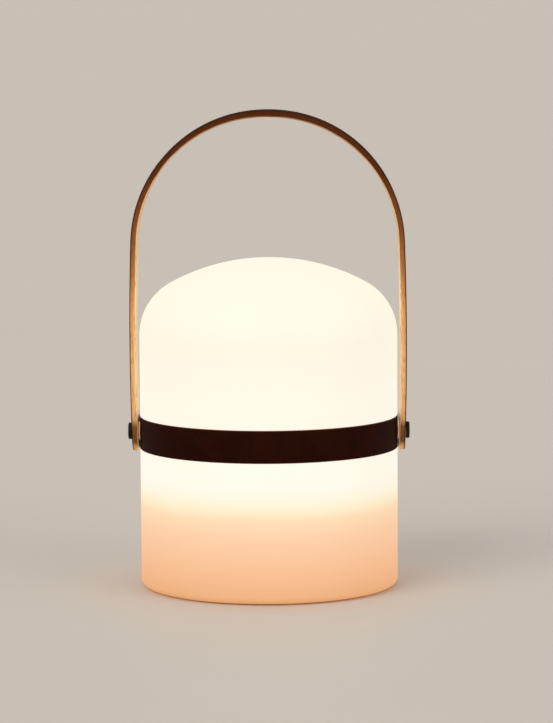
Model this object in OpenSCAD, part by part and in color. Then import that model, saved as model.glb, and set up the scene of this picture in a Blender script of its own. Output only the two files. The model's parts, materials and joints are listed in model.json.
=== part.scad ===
// Lantern table lamp: a domed opal shade on a rechargeable base, belted by a dark strap,
// with a bent-wood carrying handle that swings on two pivot screws.
// Millimetres. The lamp's axis is Z, the table is z = 0, the front faces -Y,
// and the handle's pivot axis runs along X.

/* [Shade] */
// Outside diameter of the shade's straight wall
shade_d = 161; // [144:1:180]
// Height of the top of the dome above the table
shade_top = 205.5; // [190:0.5:240]
// Radius of the shallow crown of the dome
crown_r = 128; // [110:1:180]
// Radius of the turn from the dome into the wall
knuckle_r = 36.5; // [25:0.5:45]
// Thickness of the moulded wall
shade_wall = 2.8; // [2.4:0.1:3.6]
// Outer rounding of the shade's foot
heel_r = 4; // [2:0.5:6]
// Width of the solid heel round the base plate
heel_w = 6; // [5:0.5:9]
// Air between the shade's foot and the table
foot_air = 0.8; // [0.5:0.1:1.5]
// Thickness of the ledge that the base screws bite into
ledge_t = 3; // [2.4:0.1:5]
// Width of that ledge
ledge_w = 7; // [6.5:0.5:9]

/* [Strap] */
// Height of the strap
strap_h = 20; // [14:0.5:26]
// Thickness of the strap
strap_t = 1.2; // [1:0.1:2]
// Depth of the groove in the shade that locates the strap
groove_depth = 1; // [0.6:0.1:1.2]
// Gap of the strap's butt joint, at the back
strap_joint = 0.6; // [0.2:0.1:2]
// Diameter of the rivets' heads
rivet_head_d = 5; // [4:0.1:6]
// Height of the rivets' heads
rivet_head_h = 0.6; // [0.4:0.1:1]
// Diameter of the rivets' shanks
rivet_d = 2; // [1.5:0.1:2.5]
// How deep the rivets go into the shade
rivet_bite = 1.1; // [0.6:0.1:1.2]
// Distance of the rivets from the butt joint, along the strap
rivet_inset = 6; // [4:0.5:12]
// Distance between the upper and the lower rivet
rivet_pitch = 10; // [7:0.5:12]

/* [Handle] */
// Height of the top of the handle above the table
bow_top = 297.5; // [270:0.5:330]
// Thickness of the bent strip
strip_t = 4.2; // [3:0.1:5]
// Width of the bent strip
strip_w = 22; // [17:0.5:24]
// Radius of the handle's flat crown
bow_crown_r = 94; // [84:1:110]
// Angle above the horizontal at which the crown takes over from the shoulders
shoulder_turn = 81; // [60:1:84]
// Angle by which the legs lean in at the pivots
leg_lean = 1.7; // [1.5:0.1:4]
// Angle that the legs' long bend turns above their widest point
leg_bulge = 2; // [1:0.1:3]
// Distance from the pivot to the rounded end of a leg
end_r = 12.4; // [12.2:0.1:15]

/* [Pivots] */
// Height of the pivots, and of the strap's middle, above the table
pivot_z = 97.2; // [85:0.1:115]
// Diameter of the pivot screws' heads
head_d = 10.5; // [9:0.1:12]
// Height of the pivot screws' heads
head_h = 2.4; // [2:0.1:4]
// Rounding of the heads' outer edge
head_edge_r = 0.9; // [0.4:0.1:1.2]
// Across-flats size of the sockets in the heads
socket_af = 3; // [2.5:0.1:4]
// Depth of those sockets
socket_depth = 1.4; // [1:0.1:2]
// Diameter of the smooth shoulder that the handle turns on
shoulder_d = 5; // [4.6:0.1:6]
// Diameter of the screws' threaded end
thread_d = 4; // [3:0.1:4.2]
// Outside diameter of the handle's bushes
bush_d = 7; // [6.6:0.1:8]
// Diameter of the bushes' flanges
flange_d = 11.3; // [9:0.1:14]
// Thickness of the bushes' flanges
flange_t = 0.6; // [0.6:0.1:1.2]
// Across-flats size of the nuts inside the shade
nut_af = 7; // [5.5:0.1:8]
// Thickness of the nuts
nut_t = 3.2; // [2.4:0.1:4]
// Diameter of the washers under the nuts
washer_d = 12; // [9:0.1:14]
// Thickness of those washers
washer_t = 0.8; // [0.6:0.1:1.5]
// Diameter of the bosses inside the shade
boss_d = 16; // [14:0.5:20]
// Height of the bosses above the wall
boss_h = 2; // [1.5:0.1:3]

/* [Base] */
// Thickness of the base plate
plate_t = 3; // [2.8:0.1:4]
// Thickness of the seal ring between base plate and shade
seal_t = 0.6; // [0.4:0.1:1.5]
// Number of screws that hold the base plate
base_screw_count = 6; // [3:1:8]
// Diameter of a rubber foot
foot_d = 12; // [8:0.5:14]
// Depth of the pockets that hold the feet
foot_pocket = 1; // [0.6:0.1:1.4]
// Distance of the feet from the lamp's axis
foot_ring_r = 54; // [48:0.5:56]
// Diameter of the power button
button_d = 14.4; // [10:0.1:18]
// Travel of the power button
button_travel = 0.8; // [0.4:0.1:1]
// Distance of the button's face from the table
button_z = 1.2; // [0.9:0.1:1.8]

/* [Charging port] */
// Distance of the charging socket from the lamp's axis
port_y = 30; // [26:0.5:34]
// Width of the socket
socket_w = 9; // [8.9:0.1:9.4]
// Thickness of the socket
socket_t = 3.2; // [3.1:0.1:3.6]
// Margin of the plug recess round the socket
recess_margin = 2.3; // [1.8:0.1:3]
// Depth of the plug recess
recess_depth = 1.6; // [1.4:0.1:1.8]
// Thickness of the port's cover
cover_t = 1.2; // [0.8:0.1:1.2]

/* [Light module] */
// Height of the inner housing's rim above the table
can_top = 48; // [46:0.5:60]
// Wall of the inner housing
can_wall = 2; // [1.5:0.1:3]
// Width of the ledge that carries the heat spreader
can_ledge_w = 4; // [3:0.5:6]
// Thickness of the heat spreader
spreader_t = 2; // [1:0.1:2.4]
// Diameter of the light-emitting board, which the inner housing follows
led_board_d = 96; // [88:1:104]
// Air between that board and the spigot of the diffusing cover
board_air = 4.1; // [2:0.1:6]
// Thickness of both circuit boards
board_t = 1.6; // [1:0.1:2]
// Rise of the diffusing cover above the rim
cap_rise = 7; // [5:0.5:9]
// Wall of the diffusing cover
cap_wall = 1.6; // [1:0.1:2]
// Length of a light chip
chip_l = 3.5; // [2:0.1:5]
// Width of a light chip
chip_w = 2.8; // [2:0.1:5]
// Height of a light chip
chip_h = 0.8; // [0.5:0.1:1.2]

/* [Battery and control] */
// Diameter of a battery cell
cell_d = 18.4; // [14:0.1:18.6]
// Length of a battery cell
cell_l = 65; // [50:0.5:70]
// Floor of the cradle under the cells
cradle_floor = 2; // [1.5:0.1:3]
// Walls of the cradle beside and beyond the cells
cradle_wall = 2; // [1.6:0.1:2.4]
// Gap between the two cells
cell_gap = 1.6; // [1:0.1:3]
// Thickness of the steel clamp over the cells
clamp_t = 1.2; // [0.8:0.1:1.5]
// Width of that clamp
clamp_w = 12; // [8:0.5:20]
// Width of the control board
control_w = 50; // [46:0.5:52]
// Length of the control board
control_l = 54; // [50:0.5:54]
// Height of the control board above the base plate
control_lift = 8.2; // [8:0.1:9]
// Height of the cradle above the base plate
cradle_lift = 14.4; // [14:0.1:16]
// Diameter of the wires
wire_d = 1.4; // [1:0.1:1.6]

/* [Clearances] */
// Radial clearance of a turning or sliding fit
run_fit = 0.05; // [0.02:0.01:0.1]
// Gap between faces that turn past each other
side_gap = 0.15; // [0.1:0.01:0.3]
// Gap round parts that are dropped into a pocket
drop_gap = 0.3; // [0.1:0.05:0.5]
// Extra diameter of a screw's clearance hole
hole_gap = 0.2; // [0.1:0.05:0.5]

/* [Hidden] */
$fn = 96;

over = 1; // how far a cutter runs past what it cuts
long_arc_fn = 720; // fragments for the legs' long, nearly straight bend
small_fn = 32; // fragments for screws and wires

// Shade: three arcs that run smoothly into each other
shade_r = shade_d / 2;
crown_z = shade_top - crown_r;
knuckle_x = shade_r - knuckle_r;
knuckle_z = crown_z + sqrt(pow(crown_r - knuckle_r, 2) - pow(knuckle_x, 2));
crown_dir = [knuckle_x, knuckle_z - crown_z] / (crown_r - knuckle_r);
rebate_r = shade_r - heel_w;
ledge_r = rebate_r - ledge_w;
plate_z = foot_air;
plate_top = plate_z + plate_t;
ledge_z = plate_top + seal_t;
ledge_top = ledge_z + ledge_t;

// Strap and rivets
groove_r = shade_r - groove_depth;
strap_r = groove_r + strap_t;
groove_gap = 0.1; // play above and below the strap

// Stack along the pivot axis, from the strap outwards
flange_x = strap_r + side_gap;
wood_seat = flange_x + flange_t; // bottom of the spot face that the flange sits in
spot_r = flange_d / 2 + hole_gap;
spot_skim = 0.05; // least depth of the spot face on the leaning strip
bow_in = wood_seat - spot_r * tan(leg_lean) - spot_skim; // inner face of the strip at the pivot
bow_out = bow_in + strip_t / cos(leg_lean);
head_seat = bow_out + head_d / 2 * tan(leg_lean) + side_gap;
bush_end = head_seat - run_fit;
shoulder_sink = 0.4; // the shoulder clamps on a spot face in the groove's floor
shoulder_seat = groove_r - shoulder_sink;
boss_x = shade_r - shade_wall - boss_h;
nut_x = boss_x - washer_t - nut_t;
screw_tail = 0.8; // thread that stands out of the nut
screw_end = nut_x - screw_tail;

// Handle: leg, shoulder and crown arcs, each tangent to the next; the leg's radius
// is the one that brings the crown to bow_top
arc_gain = (cos(leg_bulge) - cos(leg_lean)) / (cos(leg_bulge) - cos(shoulder_turn));
shoulder_base = (bow_out - bow_crown_r * cos(shoulder_turn)) / (cos(leg_bulge) - cos(shoulder_turn));
turn_drop = sin(shoulder_turn) - sin(leg_bulge);
leg_r = (bow_top - pivot_z - shoulder_base * turn_drop - bow_crown_r * (1 - sin(shoulder_turn)))
    / (sin(leg_lean) + sin(leg_bulge) + arc_gain * turn_drop);
shoulder_r = shoulder_base + arc_gain * leg_r;
leg_x = bow_out - leg_r * cos(leg_lean);
leg_z = pivot_z + leg_r * sin(leg_lean);
shoulder_x = leg_x + (leg_r - shoulder_r) * cos(leg_bulge);
shoulder_z = leg_z + (leg_r - shoulder_r) * sin(leg_bulge);
bow_crown_z = bow_top - bow_crown_r;

// Screws of the base, all driven from below
head_pocket = 1.6; // depth of the pockets for the heads
seat_z = plate_z + head_pocket;
m3 = 3;
m3_head_d = 5.4;
m3_head_h = 1.3;
plate_rim = 1; // left of the plate outside the pockets
base_screw_r = rebate_r - drop_gap - plate_rim - m3_head_d / 2 - hole_gap;
m2 = 2;
m2_head_d = 3.8;
m2_head_h = 1.2;
foot_edge_r = 0.4;

// Inner housing and light
can_in = led_board_d / 2 + board_air + cap_wall + drop_gap;
can_r = can_in + can_wall;
can_ledge_t = 1.2;
boss_pillar_d = 7;
boss_pillar_r = can_in - boss_pillar_d / 2 + 1;
boss_pillar_h = 12;
pilot_depth = 6;
spigot_h = 2; // how far the diffusing cover's spigot reaches into the housing
spreader_z = can_top - spreader_t - spigot_h;
spreader_r = can_in - drop_gap;
led_z = spreader_z + spreader_t;
led_screw_r = led_board_d / 2 - 4;
wire_x = 3;
cap_rim = 2; // height of the cover's upright rim
cap_dome = cap_rise - cap_rim;
cap_r = (pow(can_r, 2) + pow(cap_dome, 2)) / (2 * cap_dome);
light_rings = [[led_board_d / 2 - 12, 16], [led_board_d / 4 - 2, 8]]; // radius, number of chips

// Battery
cell_r = cell_d / 2;
cell_y = cell_r + cell_gap / 2;
cell_play = 0.1;
trough_l = cell_l + 1.4;
cradle_l = trough_l + 2 * cradle_wall;
cradle_w = 2 * (cell_y + cell_r + cradle_wall);
cradle_z = plate_top + cradle_lift;
cell_z = cradle_z + cradle_floor + cell_r + cell_play;
post_d = 7;
post_x = cradle_l / 2 - post_d / 2;
post_y = cradle_w / 2 - post_d / 2;
tab_t = 0.3;
tab_h = 8;
clamp_drop = 8;
clamp_screw_l = 2.4;

// Control board
control_z = plate_top + control_lift;
control_top = control_z + board_t;
control_y = 13; // the board reaches back over the charging socket
control_post_x = control_w / 2 - 4;
control_post_dy = control_l / 2 - 4;
block_h = 3.2;
block_l = 4;
block_w = 6;
driver_w = 5;
driver_h = 1.2;
driver_x = 9;
driver_y = control_y - 7;
coil_d = 6;
coil_h = 3;
coil_x = 13;
coil_y = control_y + 7;
capacitor_d = 5;

// Button, switch and port
button_r = button_d / 2;
button_flange_z = plate_top + 0.2;
button_flange_t = 1;
switch_w = 6;
switch_h = 3.5;
switch_z = control_z - switch_h;
plunger_r = 1.75;
plunger_z = switch_z - button_travel - 0.7;
plunger_grip = 1; // how much of the plunger stands in the switch at rest
recess_w = socket_w + 2 * recess_margin;
recess_t = socket_t + 2 * recess_margin;
recess_top = plate_z + recess_depth;
cover_z = recess_top - side_gap - cover_t;
barrel_r = 0.8;
barrel_l = 5.8;
hinge_setback = 1; // from the plug recess to the hinge
hinge_y = port_y - recess_t / 2 - hinge_setback;
hinge_z = cover_z + barrel_r;
// nearest that the cover's panel comes to its hinge and still swings past the recess's edge
swing_r = norm([hinge_setback, hinge_z - plate_z]) + drop_gap;
pin_r = 0.45;
pin_l = 1;

// --- small helpers -------------------------------------------------------

// A screw that points up, its head hanging below the origin
module screw(d, length, head_diameter, head_height) {
    difference() {
        union() {
            cylinder(d = d, h = length, $fn = small_fn);
            translate([0, 0, -head_height])
                cylinder(d = head_diameter, h = head_height, $fn = small_fn);
        }
        translate([0, 0, -head_height - over])
            cylinder(d = d * 0.7, h = head_height * 0.6 + over, $fn = 6);
    }
}

// Copies on a circle
module around(radius, count, first = 0) {
    for (i = [0 : count - 1])
        rotate([0, 0, first + 360 * i / count])
            translate([radius, 0, 0])
                children();
}

// Copies at the four corners of a rectangle
module corners(x, y) {
    for (sx = [-1, 1], sy = [-1, 1])
        translate([sx * x, sy * y, 0])
            children();
}

// The same thing at both pivots, with its local Z pointing outwards along X
module both_pivots() {
    for (side = [0, 1])
        mirror([side, 0, 0])
            translate([0, 0, pivot_z])
                rotate([0, 90, 0])
                    children();
}

// A flat shape with round ends, long along X
module stadium(length, width) {
    square([length - width, width], center = true);
    for (s = [-1, 1])
        translate([s * (length - width) / 2, 0])
            circle(d = width);
}

// --- shade ---------------------------------------------------------------

// Half of the shade's outline, drawn in by inset, from height low upwards
module shade_half(inset, low) {
    meet = crown_dir * (crown_r - inset);
    translate([0, low])
        square([shade_r - inset, knuckle_z - low]);
    intersection() {
        translate([knuckle_x, knuckle_z])
            circle(knuckle_r - inset);
        translate([0, knuckle_z - knuckle_r])
            square([shade_r, 2 * knuckle_r]);
    }
    polygon([
        [0, knuckle_z],
        [knuckle_x, knuckle_z],
        [meet[0], crown_z + meet[1]],
        [0, crown_z + meet[1]],
    ]);
    intersection() {
        translate([0, crown_z])
            circle(crown_r - inset);
        translate([0, crown_z + meet[1]])
            square([meet[0], crown_r]);
    }
}

module shade_section() {
    difference() {
        shade_half(0, plate_z);
        shade_half(shade_wall, ledge_top);
        // opening for the light module, and the rebate for seal and base plate
        translate([0, plate_z - over])
            square([ledge_r, ledge_top - plate_z + 2 * over]);
        translate([0, plate_z - over])
            square([rebate_r, ledge_z - plate_z + over]);
        // groove for the strap
        translate([groove_r, pivot_z - strap_h / 2 - groove_gap])
            square([groove_depth + over, strap_h + 2 * groove_gap]);
        // rounded foot
        difference() {
            translate([shade_r - heel_r, plate_z - over])
                square([heel_r + over, heel_r + over]);
            translate([shade_r - heel_r, plate_z + heel_r])
                circle(heel_r);
            translate([shade_r - heel_r - over, plate_z + heel_r])
                square([heel_r + over, 2 * over]);
        }
    }
}

module at_rivets() {
    turn = asin((strap_joint / 2 + rivet_inset) / groove_r);
    for (side = [-1, 1], level = [-1, 1])
        rotate([0, 0, 90 + side * turn])
            translate([groove_r, 0, pivot_z + level * rivet_pitch / 2])
                rotate([0, 90, 0])
                    children();
}

module shade_shell() {
    color([1, 0.95, 0.85])
        difference() {
            union() {
                rotate_extrude()
                    shade_section();
                both_pivots()
                    translate([0, 0, boss_x])
                        cylinder(d = boss_d, h = boss_h + shade_wall / 3);
            }
            both_pivots() {
                translate([0, 0, boss_x - over])
                    cylinder(d = thread_d + hole_gap, h = shade_r, $fn = small_fn);
                translate([0, 0, shoulder_seat])
                    cylinder(d = shoulder_d + hole_gap, h = shade_r, $fn = small_fn);
            }
            at_rivets()
                translate([0, 0, -rivet_bite])
                    cylinder(d = rivet_d, h = rivet_bite + over, $fn = small_fn);
            around(base_screw_r, base_screw_count)
                translate([0, 0, ledge_z - over])
                    cylinder(d = m3, h = ledge_t + 2 * over, $fn = small_fn);
        }
}

module strap() {
    color([0.16, 0.05, 0.02])
        difference() {
            translate([0, 0, pivot_z - strap_h / 2])
                difference() {
                    cylinder(r = strap_r, h = strap_h);
                    translate([0, 0, -over])
                        cylinder(r = groove_r, h = strap_h + 2 * over);
                }
            translate([-strap_joint / 2, 0, pivot_z - strap_h])
                cube([strap_joint, shade_r * 2, strap_h * 2]);
            both_pivots()
                cylinder(d = shoulder_d + hole_gap, h = shade_r * 2, $fn = small_fn);
            at_rivets()
                translate([0, 0, -over])
                    cylinder(d = rivet_d, h = strap_t + 2 * over, $fn = small_fn);
        }
}

module strap_rivets() {
    color([0.45, 0.32, 0.16])
        at_rivets()
            rotate_extrude($fn = small_fn) {
                translate([0, -rivet_bite])
                    square([rivet_d / 2, rivet_bite + strap_t + rivet_head_h / 2]);
                translate([0, strap_t])
                    square([rivet_head_d / 2 - rivet_head_h / 2, rivet_head_h]);
                translate([0, strap_t])
                    square([rivet_head_d / 2, rivet_head_h / 2]);
                translate([rivet_head_d / 2 - rivet_head_h / 2, strap_t + rivet_head_h / 2])
                    circle(rivet_head_h / 2);
            }
}

// --- handle --------------------------------------------------------------

// One side of the handle's outline, drawn in by inset all round: a leg, a shoulder and
// half of the crown, each arc kept to the heights where it is the outermost one
module bow_half(inset) {
    low = pivot_z - end_r - over;
    turn_z = leg_z + (leg_r - inset) * sin(leg_bulge);
    crown_end = [cos(shoulder_turn), sin(shoulder_turn)] * (bow_crown_r - inset);
    intersection() {
        translate([leg_x, leg_z])
            circle(leg_r - inset, $fn = long_arc_fn);
        translate([-over, low - inset])
            square([shade_r * 2, turn_z - low + inset]);
    }
    intersection() {
        translate([shoulder_x, shoulder_z])
            circle(shoulder_r - inset);
        translate([-over, turn_z - 2 * strip_t])
            square([shade_r * 2, bow_crown_z + crown_end[1] - turn_z + 2 * strip_t]);
    }
    intersection() {
        translate([0, bow_crown_z])
            circle(bow_crown_r - inset);
        translate([-over, bow_crown_z + crown_end[1] - strip_t])
            square([crown_end[0] + over, bow_crown_r]);
    }
}

module bow_outline(inset) {
    bow_half(inset);
    mirror([1, 0])
        bow_half(inset);
}

// What a leg loses below its pivot, so that its end is round
module leg_end_cut() {
    corner = sqrt(pow(end_r, 2) - pow(strip_w / 2, 2));
    difference() {
        translate([shade_r / 2, -strip_w, pivot_z - end_r - strip_t])
            cube([shade_r, strip_w * 2, end_r + strip_t - corner]);
        translate([0, 0, pivot_z])
            rotate([0, 90, 0])
                cylinder(r = end_r, h = shade_r * 2);
    }
}

module handle_bow() {
    color([0.72, 0.45, 0.22])
        difference() {
            rotate([90, 0, 0])
                linear_extrude(strip_w, center = true)
                    difference() {
                        bow_outline(0);
                        bow_outline(strip_t);
                    }
            for (side = [0, 1])
                mirror([side, 0, 0])
                    leg_end_cut();
            both_pivots() {
                cylinder(d = bush_d, h = shade_r * 2);
                translate([0, 0, shade_r / 2])
                    cylinder(r = spot_r, h = wood_seat - shade_r / 2);
            }
        }
}

module pivot_bushes() {
    color([0.8, 0.78, 0.72])
        both_pivots()
            difference() {
                union() {
                    translate([0, 0, flange_x])
                        cylinder(d = flange_d, h = flange_t);
                    translate([0, 0, flange_x])
                        cylinder(d = bush_d, h = bush_end - flange_x);
                }
                translate([0, 0, flange_x - over])
                    cylinder(d = shoulder_d + 2 * run_fit, h = bush_end - flange_x + 2 * over);
            }
}

// --- pivots --------------------------------------------------------------

module pivot_screws() {
    color([0.06, 0.05, 0.05])
        both_pivots()
            difference() {
                union() {
                    translate([0, 0, screw_end])
                        cylinder(d = thread_d, h = shoulder_seat - screw_end);
                    translate([0, 0, shoulder_seat])
                        cylinder(d = shoulder_d, h = head_seat - shoulder_seat + head_h / 2);
                    translate([0, 0, head_seat])
                        rotate_extrude() {
                            square([head_d / 2 - head_edge_r, head_h]);
                            square([head_d / 2, head_h - head_edge_r]);
                            translate([head_d / 2 - head_edge_r, head_h - head_edge_r])
                                circle(head_edge_r);
                        }
                }
                translate([0, 0, head_seat + head_h - socket_depth])
                    cylinder(d = socket_af / cos(30), h = socket_depth + over, $fn = 6);
            }
}

module pivot_washers() {
    color([0.75, 0.75, 0.76])
        both_pivots()
            translate([0, 0, boss_x - washer_t])
                difference() {
                    cylinder(d = washer_d, h = washer_t);
                    translate([0, 0, -over])
                        cylinder(d = thread_d + hole_gap, h = washer_t + 2 * over);
                }
}

module pivot_nuts() {
    color([0.7, 0.7, 0.7])
        both_pivots()
            translate([0, 0, nut_x])
                difference() {
                    cylinder(d = nut_af / cos(30), h = nut_t, $fn = 6);
                    translate([0, 0, -over])
                        cylinder(d = thread_d, h = nut_t + 2 * over);
                }
}

// --- base ----------------------------------------------------------------

// Clearance hole with a pocket for the head, cut from below
module screw_way() {
    translate([0, 0, plate_z - over])
        cylinder(d = m3_head_d + 2 * hole_gap, h = seat_z - plate_z + over, $fn = small_fn);
    translate([0, 0, plate_z - over])
        cylinder(d = m3 + hole_gap, h = plate_t + 2 * over, $fn = small_fn);
}

module base_plate() {
    color([0.93, 0.91, 0.87])
        difference() {
            union() {
                translate([0, 0, plate_z])
                    cylinder(r = rebate_r - drop_gap, h = plate_t);
                // posts under the control board
                translate([0, control_y, plate_top - over])
                    corners(control_post_x, control_post_dy)
                        cylinder(d = 6, h = control_lift + over, $fn = small_fn);
            }
            around(base_screw_r, base_screw_count)
                screw_way();
            around(boss_pillar_r, 4)
                screw_way();
            corners(post_x, post_y)
                screw_way();
            around(foot_ring_r, 4, 45)
                translate([0, 0, plate_z - over])
                    cylinder(d = foot_d + hole_gap, h = foot_pocket + over);
            translate([0, control_y, control_z - pilot_depth])
                corners(control_post_x, control_post_dy)
                    cylinder(d = m2, h = pilot_depth + over, $fn = small_fn);
            // button
            translate([0, 0, plate_z - over])
                cylinder(r = button_r + drop_gap, h = plate_t + 2 * over);
            // plug recess with a thumbnail notch, and the socket's way through
            translate([0, port_y, plate_z - over])
                linear_extrude(recess_depth + over)
                    stadium(recess_w, recess_t);
            translate([0, port_y + recess_t / 2, plate_z - over])
                cylinder(r = 3, h = recess_depth * 0.75 + over);
            translate([0, port_y, plate_z])
                linear_extrude(plate_t + over)
                    stadium(socket_w + 2 * hole_gap, socket_t + 2 * hole_gap);
            // hinge bay of the port's cover, and the holes for its pins
            translate([-barrel_l / 2 - drop_gap, hinge_y - barrel_r - drop_gap, plate_z - over])
                cube([
                    barrel_l + 2 * drop_gap,
                    2 * barrel_r + 2 * drop_gap,
                    hinge_z + barrel_r + drop_gap - plate_z + over,
                ]);
            translate([-barrel_l / 2 - pin_l - 0.1, hinge_y, hinge_z])
                rotate([0, 90, 0])
                    cylinder(r = pin_r + run_fit, h = barrel_l + 2 * pin_l + 0.2, $fn = small_fn);
        }
}

module base_seal() {
    color([0.35, 0.35, 0.36])
        translate([0, 0, plate_top])
            difference() {
                cylinder(r = rebate_r - 2 * drop_gap, h = seal_t);
                translate([0, 0, -over])
                    cylinder(r = ledge_r + 2 * drop_gap, h = seal_t + 2 * over);
                around(base_screw_r, base_screw_count)
                    translate([0, 0, -over])
                        cylinder(d = m3 + hole_gap, h = seal_t + 2 * over, $fn = small_fn);
            }
}

module base_screws() {
    color([0.7, 0.7, 0.72])
        around(base_screw_r, base_screw_count)
            translate([0, 0, seat_z])
                screw(m3, ledge_top - seat_z - 0.4, m3_head_d, m3_head_h);
}

module rubber_feet() {
    color([0.12, 0.12, 0.12])
        around(foot_ring_r, 4, 45)
            rotate_extrude() {
                square([foot_d / 2 - foot_edge_r, plate_z + foot_pocket]);
                translate([0, foot_edge_r])
                    square([foot_d / 2, plate_z + foot_pocket - foot_edge_r]);
                translate([foot_d / 2 - foot_edge_r, foot_edge_r])
                    circle(foot_edge_r, $fn = small_fn);
            }
}

// --- light module --------------------------------------------------------

module inner_housing() {
    color([0.96, 0.95, 0.93])
        difference() {
            union() {
                translate([0, 0, plate_top])
                    difference() {
                        cylinder(r = can_r, h = can_top - plate_top);
                        translate([0, 0, -over])
                            cylinder(r = can_in, h = can_top - plate_top + 2 * over);
                    }
                // ledge under the heat spreader
                rotate_extrude()
                    polygon([
                        [can_in + can_wall / 2, spreader_z],
                        [can_in - can_ledge_w, spreader_z],
                        [can_in - can_ledge_w, spreader_z - can_ledge_t],
                        [can_in, spreader_z - can_ledge_t - can_ledge_w],
                        [can_in + can_wall / 2, spreader_z - can_ledge_t - can_ledge_w],
                    ]);
                around(boss_pillar_r, 4)
                    translate([0, 0, plate_top])
                        cylinder(d = boss_pillar_d, h = boss_pillar_h, $fn = small_fn);
            }
            around(boss_pillar_r, 4)
                translate([0, 0, plate_top - over])
                    cylinder(d = m3, h = pilot_depth + over, $fn = small_fn);
        }
}

module housing_screws() {
    color([0.7, 0.7, 0.72])
        around(boss_pillar_r, 4)
            translate([0, 0, seat_z])
                screw(m3, plate_top - seat_z + pilot_depth - 0.6, m3_head_d, m3_head_h);
}

module heat_spreader() {
    color([0.8, 0.81, 0.83])
        translate([0, 0, spreader_z])
            difference() {
                cylinder(r = spreader_r, h = spreader_t);
                translate([0, port_y, -over])
                    linear_extrude(spreader_t + 2 * over)
                        stadium(2 * wire_x + 6, 6);
                around(led_screw_r, 4, 45)
                    translate([0, 0, -over])
                        cylinder(d = m2, h = spreader_t + 2 * over, $fn = small_fn);
            }
}

module led_board() {
    color([0.97, 0.97, 0.95])
        translate([0, 0, led_z])
            difference() {
                cylinder(d = led_board_d, h = board_t);
                around(led_screw_r, 4, 45)
                    translate([0, 0, -over])
                        cylinder(d = m2 + hole_gap, h = board_t + 2 * over, $fn = small_fn);
            }
}

module led_chips() {
    color([1, 0.85, 0.35])
        for (ring = light_rings)
            around(ring[0], ring[1])
                translate([-chip_w / 2, -chip_l / 2, led_z + board_t])
                    cube([chip_w, chip_l, chip_h]);
}

module led_board_screws() {
    color([0.7, 0.7, 0.72])
        around(led_screw_r, 4, 45)
            translate([0, 0, led_z + board_t])
                mirror([0, 0, 1])
                    screw(m2, board_t + spreader_t - 0.2, m2_head_d, m2_head_h);
}

module led_cover() {
    color([0.99, 0.98, 0.95])
        rotate_extrude()
            difference() {
                union() {
                    translate([0, can_top])
                        square([can_r, cap_rim]);
                    intersection() {
                        translate([0, can_top + cap_rise - cap_r])
                            circle(cap_r, $fn = long_arc_fn);
                        translate([0, can_top + cap_rim])
                            square([can_r, cap_rise]);
                    }
                    translate([can_in - drop_gap - cap_wall, led_z])
                        square([cap_wall, can_top - led_z + cap_rim / 2]);
                }
                translate([0, can_top - over])
                    square([can_in - drop_gap - cap_wall, cap_rim - cap_wall / 2 + over]);
                intersection() {
                    translate([0, can_top + cap_rise - cap_r])
                        circle(cap_r - cap_wall, $fn = long_arc_fn);
                    translate([0, can_top - over])
                        square([can_in - drop_gap - cap_wall, cap_rise + over]);
                }
            }
}

module led_leads() {
    color([0.75, 0.1, 0.08])
        for (side = [-1, 1])
            translate([side * wire_x, port_y, control_top + block_h])
                cylinder(d = wire_d, h = led_z - control_top - block_h, $fn = small_fn);
}

// --- battery -------------------------------------------------------------

module battery_cradle() {
    color([0.9, 0.9, 0.88])
        difference() {
            union() {
                translate([-cradle_l / 2, -cradle_w / 2, cradle_z])
                    cube([cradle_l, cradle_w, cell_z - cradle_z]);
                corners(post_x, post_y)
                    translate([0, 0, plate_top])
                        cylinder(d = post_d, h = cradle_lift + over, $fn = small_fn);
            }
            for (side = [-1, 1])
                translate([-trough_l / 2, side * cell_y, cell_z])
                    rotate([0, 90, 0])
                        cylinder(r = cell_r + cell_play, h = trough_l);
            // room for the tabs at the cells' ends
            for (side = [-1, 1])
                translate([side * (cell_l / 2 + trough_l / 2) / 2, 0, cell_z])
                    cube([(trough_l - cell_l) / 2, 2 * cell_y, tab_h + 2], center = true);
            corners(post_x, post_y)
                translate([0, 0, plate_top - over])
                    cylinder(d = m3, h = pilot_depth + over, $fn = small_fn);
            // the clamp's screws
            for (side = [0, 1])
                mirror([0, side, 0])
                    translate([0, cradle_w / 2 + over, cell_z - clamp_drop / 2])
                        rotate([90, 0, 0])
                            cylinder(d = m2, h = clamp_screw_l - clamp_t + over, $fn = small_fn);
        }
}

module cradle_screws() {
    color([0.7, 0.7, 0.72])
        corners(post_x, post_y)
            translate([0, 0, seat_z])
                screw(m3, plate_top - seat_z + pilot_depth - 0.6, m3_head_d, m3_head_h);
}

module battery_cells() {
    color([0.15, 0.35, 0.6])
        for (side = [-1, 1])
            translate([-cell_l / 2, side * cell_y, cell_z])
                rotate([0, 90, 0])
                    cylinder(r = cell_r, h = cell_l);
}

module cell_tabs() {
    color([0.78, 0.77, 0.74])
        for (side = [-1, 1])
            translate([side * (cell_l + tab_t) / 2, 0, cell_z])
                cube([tab_t, 2 * cell_y - 2, tab_h], center = true);
}

module cell_clamp() {
    reach = cradle_w / 2;
    crest = cell_z + cell_r;
    color([0.72, 0.72, 0.73])
        difference() {
            translate([-clamp_w / 2, -reach - clamp_t, cell_z - clamp_drop])
                cube([clamp_w, 2 * (reach + clamp_t), crest + clamp_t - cell_z + clamp_drop]);
            translate([-clamp_w, -reach, cell_z - clamp_drop - over])
                cube([2 * clamp_w, 2 * reach, crest - cell_z + clamp_drop + over]);
            translate([0, -cradle_w, cell_z - clamp_drop / 2])
                rotate([-90, 0, 0])
                    cylinder(d = m2 + hole_gap, h = 2 * cradle_w, $fn = small_fn);
        }
}

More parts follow.
